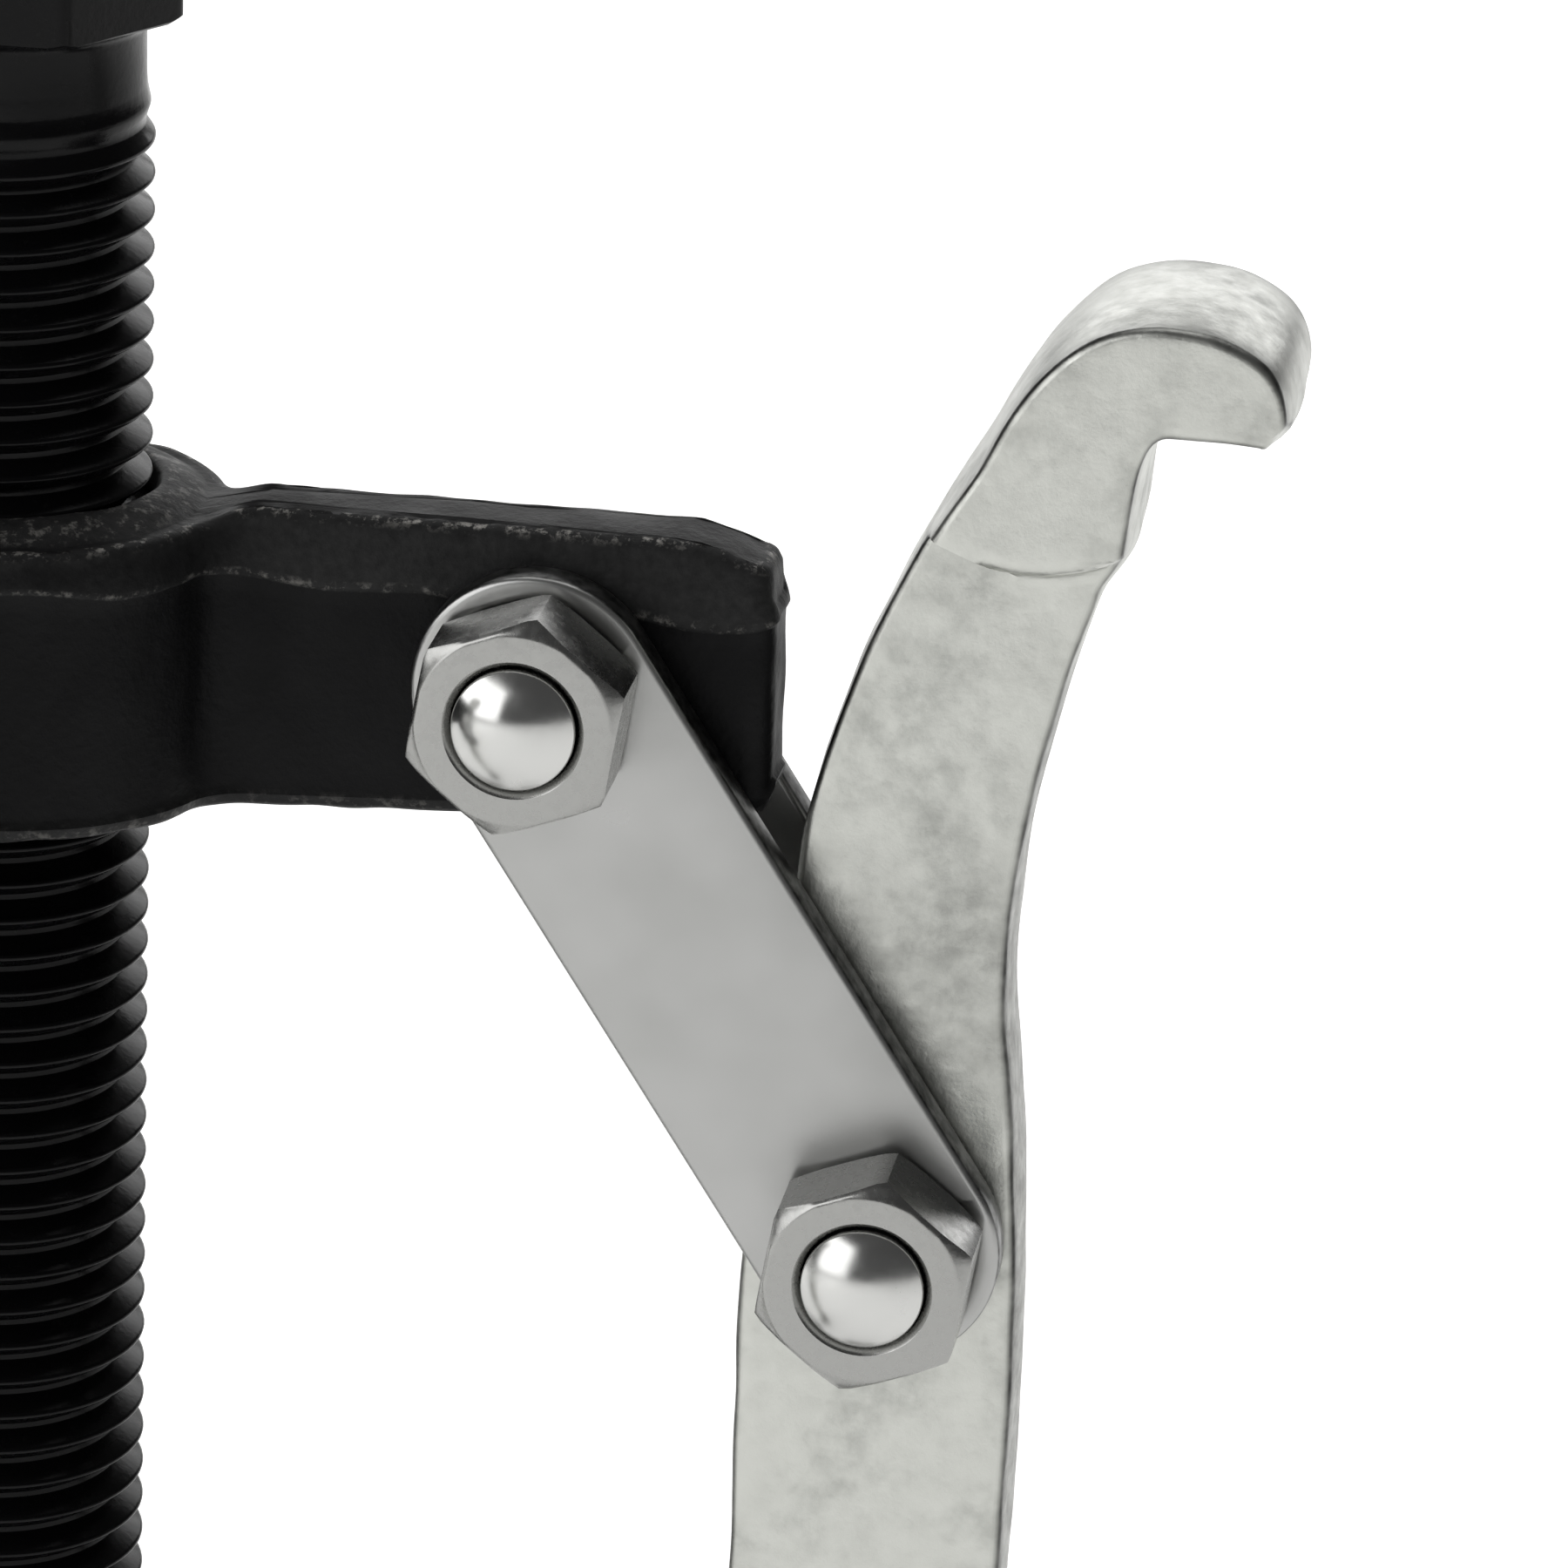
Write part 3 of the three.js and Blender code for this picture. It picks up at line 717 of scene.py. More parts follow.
THREAD_PHASES = (0.0, 0.07, 0.13, 0.40, 0.455, 0.5, 0.545, 0.60, 0.87, 0.93, 1.0)
THREAD_SHARES = (1.0, 0.985, 0.88, 0.12, 0.02, 0.0, 0.02, 0.12, 0.88, 0.985, 1.0)


def thread_radius(sizes, angles, levels, low, high):
    """Radius of the threaded screw at each angle and level.

    The groove's depth depends only on the phase, level over pitch less angle over a full turn, so
    it climbs one pitch per turn, right-handed. It fades into the plain neck at the top, and a cone
    cuts it at the lower end.
    """
    phase = (levels / sizes.pitch - angles / TURN) % 1
    groove = sizes.depth * np.interp(phase, THREAD_PHASES, THREAD_SHARES)
    plain = high - levels
    groove = groove * smooth((plain - 0.4) / sizes.runout)
    body = blend(sizes.neck, sizes.crest, smooth(plain / (sizes.runout * 0.6)))
    cone = sizes.crest - sizes.end_bevel + np.maximum(levels - low, 0)
    return np.minimum(body - groove, cone)


def ball_arc(radius, neck, centre, count=12):
    """Radii and levels of a ball above its neck, up to the axis."""
    start = -math.acos(neck / radius)
    angles = np.linspace(start, math.pi / 2, count)
    return list(radius * np.cos(angles)), list(centre + radius * np.sin(angles))


def screw_grids():
    """The screw as three grids that share their edge rings: the thread, whose rows climb with the
    helix so that crests stay clean, the socketed lower end, and the neck with the hexagon head."""
    sizes = bpy.context.scene.puller_screw
    angles = hexagon_angles()
    low, top = screw_low[2], screw_high[2]
    head = top - sizes.head_height
    high = head - sizes.neck_length + 0.6
    turns = math.ceil((high - low) / sizes.pitch) + 1
    steps = np.array(THREAD_PHASES[:-1])
    rows = (np.arange(-1, turns)[:, None] + steps[None, :]).ravel() * sizes.pitch
    rows = rows + math.floor(low / sizes.pitch) * sizes.pitch
    climb = (angles - angles[0]) / TURN * sizes.pitch + angles[0] / TURN * sizes.pitch
    levels = np.clip(rows[:, None] + climb[None, :], low, high)
    radii = thread_radius(sizes, angles[None, :], levels, low, high)
    thread = np.stack([radii * np.cos(angles), radii * np.sin(angles), levels], axis=-1)

    end = thread_radius(sizes, angles, np.full(angles.shape, low), low, high)
    ball_level = low + sizes.ball_lip + sizes.ball
    mouth = sizes.ball_neck + sizes.tip_gap
    seat_radii, seat_levels = ball_arc(sizes.ball + sizes.tip_gap, mouth, ball_level)
    lower = rings([end, (end + mouth) / 2, mouth, *seat_radii],
                  [low, low, low, *seat_levels], angles)

    hex_radii, hex_levels = hexagon_rows(angles, sizes.head_flats, head, top, low_share=1.07)
    start = thread_radius(sizes, angles, np.full(angles.shape, high), low, high)
    fillet = 0.8
    upper = rings(
        [start, sizes.neck, sizes.neck, sizes.neck + fillet / 3, sizes.neck + fillet,
         *hex_radii, 0],
        [high, high + 0.5, head - fillet, head - fillet / 3, head, *hex_levels, top], angles)
    return [thread, lower, upper]


class PULLER_OT_forcing_screw(bpy.types.Operator):
    """Builds the forcing screw with its thread and hexagon head"""

    bl_idname = "puller.forcing_screw"
    bl_label = "Forcing screw"

    def execute(self, context):
        mesh = make_mesh("forcing_screw_thread", screw_grids(), sharp_angle=38)
        add_piece("forcing_screw_thread", mesh, "forcing_screw", "forcing_screw",
                  black_oxide_steel())
        return {"FINISHED"}


class PULLER_OT_pressure_tip(bpy.types.Operator):
    """Builds the pressure tip that turns in the screw's end on a ball"""

    bl_idname = "puller.pressure_tip"
    bl_label = "Pressure tip"

    def execute(self, context):
        sizes = context.scene.puller_screw
        angles = np.linspace(0, TURN, 65)
        shoulder = screw_low[2] - sizes.tip_gap
        centre = screw_low[2] + sizes.ball_lip + sizes.ball
        radii, levels = ball_arc(sizes.ball, sizes.ball_neck, centre)
        edge = 0.35
        base = tip_low[2]
        body = rings(
            [0, sizes.tip_face - edge, sizes.tip_face, sizes.tip_radius - edge / 2,
             sizes.tip_radius, sizes.tip_radius, sizes.tip_radius - edge,
             sizes.ball_neck + edge, sizes.ball_neck, *radii],
            [base, base, base + edge / 2, base + sizes.tip_cone - edge / 2,
             base + sizes.tip_cone + edge / 2, shoulder - edge, shoulder,
             shoulder, shoulder + edge, *levels], angles)
        mesh = make_mesh("swivel_tip", [body])
        add_piece("swivel_tip", mesh, "pressure_tip", "pressure_tip",
                  hardened_steel())
        return {"FINISHED"}


# ---- Yoke ----

def yoke_outline(sizes, half_arm, end):
    """Plan of the yoke's sides as a closed path, with outward normals.

    A sixth of it runs from between two arms along the hub's circle, round the hollow valley that
    touches both hub and arm, along the arm's flat side, round the end's corner and to the middle of
    the end. Mirrored and turned, it makes the whole.
    """
    across = half_arm + sizes.valley
    reach = math.sqrt((sizes.hub + sizes.valley) ** 2 - across ** 2)
    tangent = math.atan2(across, reach)
    corner = sizes.end_corner
    sixth = joined(
        arc((0, 0), sizes.hub, math.pi / 3, tangent, 26),
        arc((reach, across), sizes.valley, tangent + math.pi, 1.5 * math.pi, 14),
        straight((reach, half_arm), (end - sizes.nose - corner, half_arm), 60),
        straight((end - sizes.nose - corner, half_arm), (end - corner, half_arm), 14),
        arc((end - corner, half_arm - corner), corner, math.pi / 2, 0, 10),
        straight((end, half_arm - corner), (end, 0), 5),
    )
    arm = joined(sixth, (sixth * [1, -1])[::-1])
    paths = []
    for number in ARMS:
        angle = -(number - 1) * TURN / len(ARMS)
        turn = np.array([[math.cos(angle), -math.sin(angle)], [math.sin(angle), math.cos(angle)]])
        paths.append(arm @ turn.T)
    path = joined(*paths)[:-1]
    tangents = unit(np.roll(path, -1, axis=0) - np.roll(path, 1, axis=0))
    normals = np.stack([-tangents[:, 1], tangents[:, 0]], axis=1)
    outward = np.sign((normals * path).sum(axis=1).mean())
    return path, normals * outward


def from_arm(plan):
    """Distance along the nearest arm's middle line, and across it, of points in plan. The point's
    direction is first turned by whole thirds of a turn to lie nearest to X."""
    third = TURN / len(ARMS)
    off = (np.arctan2(plan[:, 1], plan[:, 0]) + third / 2) % third - third / 2
    distance = np.linalg.norm(plan, axis=1)
    return distance * np.cos(off), distance * np.sin(off)


def yoke_top(sizes, plan, half_width, end):
    """Height of the yoke's upper face above the pivots.

    From the hub's face it rises to the arm's root, runs level, slopes down before the end, and
    drops along a quarter of an ellipse at the nose. A parabola across the arm crowns the level
    stretch.
    """
    along, across = from_arm(plan)
    rise = smooth((along - sizes.collar) / (sizes.arm_root - sizes.collar))
    level = blend(sizes.top, sizes.arm_top, rise)
    slope = np.clip((along - end + sizes.end_slope) / (sizes.end_slope - sizes.nose), 0, 1)
    past = np.clip((along - end + sizes.nose) / sizes.nose, 0, 1)
    nose = sizes.nose * (1 - np.sqrt(np.maximum(1 - past ** 2.2, 0)))
    crown = sizes.crown * np.maximum(1 - (across / half_width) ** 2, 0) * rise * (1 - slope)
    return level + crown - (sizes.arm_top - sizes.arm_top_end) * slope ** 1.3 - nose


def yoke_bottom(sizes, plan, end):
    """Height of the yoke's lower face: level under the hub, then rising in a straight line to the
    arm's end, whose lower corner is rounded."""
    along = from_arm(plan)[0]
    share = np.clip((along - sizes.hub) / (end - sizes.hub), 0, 1)
    past = np.clip((along - end + sizes.nose) / sizes.nose, 0, 1)
    corner = sizes.nose * (1 - np.sqrt(np.maximum(1 - past ** 2.2, 0)))
    return -blend(sizes.arm_bottom, sizes.arm_bottom_end, share) + corner * 0.8


def yoke_grids(level):
    """The yoke as one grid: the outline's points across, and down the rows a closed profile that
    starts in the bore, crosses the underside, climbs the milled side and the forged band above it,
    rounds the edge and crosses the top and the collar back to the bore."""
    sizes = bpy.context.scene.puller_yoke
    half_arm = arm_half_thickness()
    end = yoke_high[0]
    path, normals = yoke_outline(sizes, half_arm, end)
    inward = unit(path)
    length = np.concatenate([[0], np.cumsum(np.linalg.norm(np.diff(path, axis=0), axis=1))])
    closing = 0.5
    turns = length / (length[-1] + closing) * TURN

    def offset(distance):
        """The outline moved into the metal."""
        return path - normals * distance

    def lifted(plan, height):
        return np.concatenate([plan, np.broadcast_to(height, len(plan))[:, None]], axis=1)

    def top_of(plan):
        return yoke_top(sizes, plan, half_arm, end)

    edge, milling = sizes.edge, sizes.milling
    wander = np.sin(turns * 9 + 0.6) * 0.6 + np.sin(turns * 23 + 2.0) * 0.4
    top = top_of(path)
    bottom = yoke_bottom(sizes, path, end)
    # The band's lower line lies higher round the hub than along the arms, and wanders.
    along = from_arm(path)[0]
    band = sizes.arm_top - blend(sizes.band, sizes.band_end, smooth((along - sizes.hub - 2) / 9))
    band = band + sizes.scallop * wander
    side_top = np.maximum(top - edge, band + 0.5)
    on_arm = smooth((along - sizes.hub) / 6)

    rows, skin, rubbed = [], [], []

    def row(points, skin_and_light_share=0.0, glint_and_wear_share=0.0):
        rows.append(points)
        skin.append(np.broadcast_to(skin_and_light_share, len(path)))
        rubbed.append(np.broadcast_to(glint_and_wear_share, len(path)))

    bore_top = sizes.top + sizes.collar_rise
    mouth = 0.5
    row(lifted(inward * sizes.bore, mouth - sizes.arm_bottom))
    row(lifted(inward * (sizes.bore + mouth), -sizes.arm_bottom))
    under = offset(edge)
    for share in np.linspace(0.1, 0.9, 9):
        plan = blend(inward * (sizes.bore + mouth), under, share)
        row(lifted(plan, yoke_bottom(sizes, plan, end)))
    lower_edge = ((1.0, 0.0, 0.0), (0.55, 0.12, 0.15), (0.2, 0.4, 0.3), (0.0, 1.0, 0.1))
    for inset, rise, wear_and_glint in lower_edge:
        row(lifted(offset(edge * inset), bottom + edge * rise), 0.7, wear_and_glint)
    row(lifted(offset(milling), bottom + edge + 0.3), 0.3)
    for share in np.linspace(0, 1, 12):
        row(lifted(offset(milling), blend(bottom + edge + 0.8, band - 0.15, share)))
    # Along the band's lower line, pale specks are painted highlights where the line catches the
    # light.
    row(lifted(offset(milling * 0.5), band), 0.6, 0.2)
    # From here up the band, skin grey, less round the hub than on the arms, is partly painted
    # light: the band leans up and catches more light than the milled sides.
    row(lifted(offset(0.0), band + 0.2), blend(0.5, 1.0, on_arm), 0.45)
    for share in np.linspace(0.15, 1, 7):
        row(lifted(offset(sizes.draft * share ** 1.5), blend(band + 0.2, side_top, share)),
            blend(0.5, 1.0, on_arm), 0.0)
    # Pale specks on the upper edge: wear through the black, and partly painted highlights.
    upper_edge = ((0.12, 0.55, 0.0), (0.35, 0.22, 0.35), (0.65, 0.06, 1.0), (1.0, 0.0, 0.8))
    for inset, drop, wear_and_glint in upper_edge:
        plan = offset(sizes.draft + edge * inset)
        row(lifted(plan, np.maximum(top_of(plan) - edge * drop, side_top)), 0.9, wear_and_glint)
    start = offset(sizes.draft + edge)
    across_the_top = (0.008, 0.018, 0.03, 0.045, 0.065, 0.09, 0.13, 0.18,
                      0.25, 0.33, 0.42, 0.52, 0.64, 0.76, 0.88, 1.0)
    for share in across_the_top:
        plan = blend(start, inward * sizes.collar, share)
        row(lifted(plan, top_of(plan)), 0.5)
    # Painted sheen on the collar: full skin grey and pale specks.
    for share in (0.25, 0.5, 0.75, 0.9, 1.0):
        radius = blend(sizes.collar, sizes.bore + 0.45, share)
        climb = math.sin(share * math.pi / 2) ** 1.1
        row(lifted(inward * radius, sizes.top + sizes.collar_rise * climb), 1.0, 0.5)
    row(lifted(inward * sizes.bore, bore_top - 0.4), 0.2)
    row(rows[0])

    grid = np.stack(rows) + np.array([0, 0, level])
    attributes = [(label, [ringed(np.stack(values))])
                  for label, values in (("skin", skin), ("rubbed", rubbed))]
    return [ringed(grid)], attributes


def arm_half_thickness():
    """Half the yoke arm's thickness: the strap's inner face less the running gap."""
    return strap_low[1] - RUNNING_GAP


class PULLER_OT_yoke(bpy.types.Operator):
    """Builds the forged yoke with its hub and three arms"""

    bl_idname = "puller.yoke"
    bl_label = "Yoke"

    def execute(self, context):
        sizes, links = context.scene.puller_yoke, context.scene.puller_links
        grids, attributes = yoke_grids(upper_pivot[1])
        mesh = make_mesh("yoke_forging", grids, attributes, sharp_angle=50)
        roughen(mesh, sizes.unevenness, 4.0, seed=11)
        for arm in ARMS:
            mesh = drill(mesh, upper_pivot, arm, links.hole, arm_half_thickness() + 2)
        add_piece("yoke_forging", mesh, "yoke", "yoke", black_forged_steel())
        return {"FINISHED"}


# ---- Straps, nuts and bolts ----

def strap_grid(inner_face, outer_face):
    """A round-ended bar between the two pivots of arm 1, as one grid.

    The outline is two half circles joined by straight sides. Each row moves it inward and across
    the bar's thickness along a rounded edge, and the last row of each face lies on the line between
    the pivots, where both halves meet.
    """
    sizes = bpy.context.scene.puller_links
    radius = sizes.strap_width / 2
    along = unit((lower_pivot - upper_pivot)[None, :])[0]
    side = np.array([-along[1], along[0]])
    heading = math.atan2(side[1], side[0])
    count = 40
    # Both halves run from the +side edge to the -side edge, so the second is reversed.
    upper = arc(upper_pivot, radius, heading, heading + math.pi, count)
    if (upper[count // 2] - upper_pivot) @ along > 0:
        upper = arc(upper_pivot, radius, heading, heading - math.pi, count)
    lower = 2 * lower_pivot - (upper - upper_pivot + lower_pivot)
    outline = joined(upper, straight(upper[-1], lower[0], 24),
                     lower, straight(lower[-1], upper[0], 24))
    length = np.linalg.norm(lower_pivot - upper_pivot)
    spine = upper_pivot + np.clip((outline - upper_pivot) @ along, 0, length)[:, None] * along
    edge = sizes.strap_edge
    half = (outer_face - inner_face) / 2
    turns = np.linspace(0, math.pi / 2, 5)
    insets = [edge * (1 - math.sin(a)) for a in turns]
    heights = [half - edge * (1 - math.cos(a)) for a in turns]
    profile = [(radius, half), (radius * 0.5, half), *zip(insets, heights)]
    profile = profile + [(0.0, 0.0)] + [(inset, -height) for inset, height in profile[::-1]]
    centre = (outer_face + inner_face) / 2
    rows = []
    for inset, height in profile:
        plan = blend(outline, spine, inset / radius)
        rows.append(np.stack([plan[:, 0], np.full(len(plan), centre + height), plan[:, 1]], axis=1))
    # Rows on the bar's sides, which the finish paints dark as a reflection.
    side = np.array([1.0 if inset < edge / 4 else 0.0 for inset, _ in profile])
    return np.stack(rows), np.broadcast_to(side[:, None], (len(profile), len(outline)))


class PULLER_OT_straps(bpy.types.Operator):
    """Builds the six strap links, two on each arm"""

    bl_idname = "puller.straps"
    bl_label = "Strap links"

    def execute(self, context):
        links = context.scene.puller_links
        both_faces = (("nut_side", (-strap_high[1], -strap_low[1])),
                      ("head_side", (strap_low[1], strap_high[1])))
        for arm in ARMS:
            for side, faces in both_faces:
                name = f"link_bar_{arm}_{side}"
                grid, sheared = strap_grid(*faces)
                mesh = make_mesh(name, turned_about_screw([grid], arm), [("sheared", [sheared])],
                                 sharp_angle=50)
                for pivot in (upper_pivot, lower_pivot):
                    mesh = drill(mesh, pivot, arm, links.hole, strap_high[1] + 2)
                add_piece(name, mesh, f"links_{arm}", f"strap_{arm}_{side}",
                          zinc_plated_strip())
        return {"FINISHED"}


def nut_grid(pivot):
    """A hexagon nut on arm 1: a closed profile of rings through the bore, the bevelled mouths, the
    faces and the sides whose corners are turned off at both ends."""
    sizes = bpy.context.scene.puller_links
    angles = hexagon_angles()
    low, high = -nut_high[1], -nut_low[1]
    turn = math.radians(90 - sizes.nut_turn)
    radii, levels = hexagon_rows(angles, sizes.flats, low, high, sizes.chamfer, sizes.chamfer, turn)
    mouth, bore = sizes.nut_mouth, sizes.nut_bore
    bevel = (mouth - bore) * 1.6
    radii = [bore, mouth, mouth + 0.08, *radii, mouth + 0.08, mouth, bore, bore]
    levels = [low + bevel, low + 0.05, low, *levels, high, high - 0.05, high - bevel, low + bevel]
    return laid_along_y(rings(radii, levels, angles)) + np.array([pivot[0], 0, pivot[1]])


def bolt_grid(pivot):
    """A pivot bolt on arm 1: rings from the middle of its domed end along the shank to the
    hexagon head and its middle."""
    sizes = bpy.context.scene.puller_links
    angles = hexagon_angles()
    dome_top = -bolt_low[1]
    head_top = -bolt_high[1]
    head_base = nut_high[1]
    radius = sizes.bolt
    ball = (radius ** 2 + sizes.dome ** 2) / (2 * sizes.dome)
    dome_radii = radius * np.sin(np.linspace(0, math.pi / 2, 14)) * 0.985
    dome_levels = dome_top - ball + np.sqrt(ball ** 2 - dome_radii ** 2)
    hex_radii, hex_levels = hexagon_rows(angles, sizes.flats, head_top, head_base)
    rim = float(dome_levels[-1])
    radii = [*dome_radii, radius, radius, radius, radius + 0.4, *hex_radii[::-1], 0]
    levels = [*dome_levels, rim - 0.12, rim - 0.5, head_base + 0.4, head_base,
              *hex_levels[::-1], head_top]
    return laid_along_y(rings(radii, levels, angles)) + np.array([pivot[0], 0, pivot[1]])


class PULLER_OT_fasteners(bpy.types.Operator):
    """Builds the six pivot bolts and their nuts"""

    bl_idname = "puller.fasteners"
    bl_label = "Bolts and nuts"

    def execute(self, context):
        for arm in ARMS:
            for place, pivot in (("upper", upper_pivot), ("lower", lower_pivot)):
                for kind, grid, plating in (("bolt", bolt_grid(pivot), bright_nickel()),
                                            ("nut", nut_grid(pivot), zinc_plated_nut())):
                    name = f"{kind}_{place}_{arm}"
                    mesh = make_mesh(name, turned_about_screw([grid], arm), sharp_angle=30)
                    add_piece(name, mesh, f"links_{arm}", f"{place}_{kind}_{arm}",
                              plating)
        return {"FINISHED"}


# ---- Jaws ----

HEAD_FOOT = 19.8         # Millimetres from the jaw's top down to where its head starts to widen.
FOOT_TIP_CAP = 1.1       # Rounding of the foot hook's tip, in millimetres.
NOSE_CAP = 0.03          # The top hook's nose is round in outline already, so it needs little.


def jaw_edges(sizes):
    """Inner and outer edge of the jaw about its pivot, as paths of matching points from the foot
    hook's tip to the top hook's tip.

    The stretches are, in order: the foot hook, its throat and heel, the leg, the swell round the
    pivot up to the waist, the lean out to the head, the head's side and throat, and the top hook
    round its nose. Each is straight lines and quadratic Bezier curves, spread evenly over the same
    number of points on both edges.
    """
    rise, foot = jaw_high[2] - lower_pivot[1], jaw_low[2] - lower_pivot[1]
    reach, foot_reach = jaw_high[0] - lower_pivot[0], lower_pivot[0] - jaw_low[0]
    grip, foot_grip = rise - sizes.top_hook, foot + sizes.foot_hook
    lug = rise - HEAD_FOOT
    inner, back, neck = sizes.inner, sizes.back, sizes.neck
    bottom_inner, bottom_outer = sizes.inner_foot, sizes.outer_foot
    swell_low, swell_high = (sizes.lower_outer, -sizes.swell), (sizes.waist_outer, sizes.swell)
    waist, over_waist = (-sizes.waist_inner, sizes.waist_level), (sizes.waist_outer + 1.1, 30)
    under_swell, over_swell = (-inner + 0.1, -19), (-inner + 0.66, 3)
    foot_throat = 6
    throat_low = (-bottom_inner - foot_throat, foot_grip)
    throat_high = (-bottom_inner, foot_grip + foot_throat)
    heel, sole = (-inner - 4, foot + 0.6), (-2, foot)
    head_low, head_side, throat = (sizes.head_lower, lug), (neck - 0.3, lug + 3.4), 1.6
    stretches = (
        (30, straight((-foot_reach, foot_grip), throat_low),
         straight((-foot_reach, foot_grip - sizes.foot_tip), heel)),
        (34, bend(throat_low, (-bottom_inner, foot_grip), throat_high),
         joined(bend(heel, (-inner, foot), sole),
                bend(sole, (bottom_outer, foot), (bottom_outer, foot_grip)))),
        (90, straight(throat_high, under_swell),
         straight((bottom_outer, foot_grip), swell_low)),
        (50, joined(bend(under_swell, (-inner, -3), over_swell), straight(over_swell, waist)),
         joined(bend(swell_low, (sizes.swell_outer, 0), swell_high),
                bend(swell_high, (sizes.waist_outer, 24), over_waist))),
        (40, bend(waist, (-3.6, lug - 3), (back, grip - 2)),
         joined(bend(over_waist, (sizes.head_lower - 2.2, 38), head_low),
                bend(head_low, (neck - 0.9, lug + 1.8), head_side))),
        (24, bend((back, grip - 2), (8.8, rise), (neck + 1, rise)),
         bend(head_side, (neck, grip), (neck + throat, grip))),
        (40, joined(bend((neck + 1, rise), (reach - 4.2, rise), (reach - 1.7, grip + 6)),
                    bend((reach - 1.7, grip + 6), (reach + 0.1, grip + 4.3), (reach, grip + 1.3)),
                    bend((reach, grip + 1.3), (reach, grip + 0.2), (reach - 0.8, grip + 0.1))),
         straight((neck + throat, grip), (reach - 1.0, grip))),
    )
    inside = joined(*(evenly(a, count) for count, a, _ in stretches))
    outside = joined(*(evenly(b, count) for count, _, b in stretches))
    return eased(inside, 3), eased(outside, 3), lug, foot


def jaw_half_thickness(sizes, across, height, lug, foot):
    """Half the jaw's thickness: the leg's, with a short step up to the widened head along a line
    that sags in its middle, and another to the widened foot."""
    leg = jaw_leg_half()
    line = lug + (HEAD_FOOT - sizes.shoulder) + sizes.shoulder_sag * (across - 8) ** 2
    head = smooth((height - line + 0.9) / 1.8)
    base = smooth((foot + sizes.foot_shoulder - height + 1.6) / 3.2)
    return leg + (sizes.top_half - leg) * head + (sizes.foot_half - leg) * base


def jaw_leg_half():
    """Half the leg's thickness: the strap's inner face less the gap that the jaw swings in."""
    return strap_low[1] - JAW_SIDE_GAP


def jaw_grid():
    """The jaw of arm 1 as one grid, with values per point for the painted dark line along its edges
    and the painted shade on its leg's sides and round the pivot: a bar carried along its two edges.

    Across each row the section starts on the mid-plane at the inner edge, leans in with the die's
    draft, rounds over to the front face, crosses it, and comes back the same way round the outer
    edge and over the back face. Both tips are rounded by rows that shrink as they move out along a
    quarter circle.
    """
    sizes = bpy.context.scene.puller_jaws
    inside, outside, lug, foot = jaw_edges(sizes)
    across = outside - inside
    width = np.linalg.norm(across, axis=1)
    direction = across / width[:, None]
    mid = (inside + outside) / 2
    half_mid = jaw_half_thickness(sizes, mid[:, 0], mid[:, 1], lug, foot)
    draft = np.minimum(sizes.draft * half_mid, 0.12 * width)
    edge = np.minimum(sizes.edge, 0.3 * width)[:, None]

    lean = np.array([0, 0.3, 0.6, 0.85, 1.0])
    turn = np.linspace(0, math.pi / 2, 6)[1:]
    share = np.linspace(0, 1, 8)[1:]
    inset = np.concatenate([
        draft[:, None] * lean ** 2,
        draft[:, None] + edge * (1 - np.cos(turn)),
        draft[:, None] + edge + (width[:, None] / 2 - draft[:, None] - edge) * share,
    ], axis=1)
    near = inside[:, None, :] + direction[:, None, :] * inset[..., None]
    far = (outside[:, None, :] - direction[:, None, :] * inset[..., None])[:, ::-1]
    front = np.concatenate([near, far[:, 1:]], axis=1)
    half = jaw_half_thickness(sizes, front[..., 0], front[..., 1], lug, foot)
    rim = np.concatenate([lean, np.ones(len(turn) + len(share))])
    lift = np.concatenate([np.zeros(len(lean)), np.sin(turn), np.ones(len(share))])
    rim = np.concatenate([rim, rim[::-1][1:]])
    lift = np.concatenate([lift, lift[::-1][1:]])
    depth = rim * (half - edge) + lift * edge
    face = np.stack([front[..., 0], -depth, front[..., 1]], axis=-1)
    back = face[:, -2:0:-1] * [1, -1, 1]
    grid = np.concatenate([face, back], axis=1)

    grid = np.concatenate([rounded_tip(grid, 0, 1, FOOT_TIP_CAP), grid,
                           rounded_tip(grid, -1, -2, NOSE_CAP)[::-1]])

    def round_section(values):
        """Values for half a face, carried round the whole section."""
        front_values = np.concatenate([values, values[::-1][1:]])
        return np.concatenate([front_values, front_values[-2:0:-1]])

    def with_tips(values):
        """Values for the sections, with the first and last repeated over the rounded tips."""
        tips = (len(grid) - len(values)) // 2
        ends = [np.repeat(end, tips, 0) for end in (values[:1], values[-1:])]
        return ringed(np.concatenate([ends[0], values, ends[1]]))

    flat = np.zeros(len(share))
    # Painted dark reflection: a dark line where each side starts to round over to a face.
    seam = round_section(np.concatenate([[0, 0, 0, 0.2, 0.6, 1, 1, 0.5, 0.1, 0], flat]))
    # Painted shade on the leg's sides.
    side = round_section(np.concatenate([[1, 1, 1, 1, 1, 0.8, 0.5, 0.2, 0, 0], flat]))
    leg = smooth((lug - mid[:, 1]) / 8)[:, None]
    # Painted shade on a band about 6 to 30 mm above the pivot, where the leg lies between the
    # straps.
    rubbed = (smooth((mid[:, 1] - 6) / 8) * smooth((30 - mid[:, 1]) / 10))[:, None]
    dark_edge_grid = with_tips(np.broadcast_to(seam, (len(mid), len(seam))))
    trimmed = with_tips(np.maximum(side * leg, 0.35 * rubbed))
    return ringed(grid) + np.array([lower_pivot[0], 0, lower_pivot[1]]), dark_edge_grid, trimmed


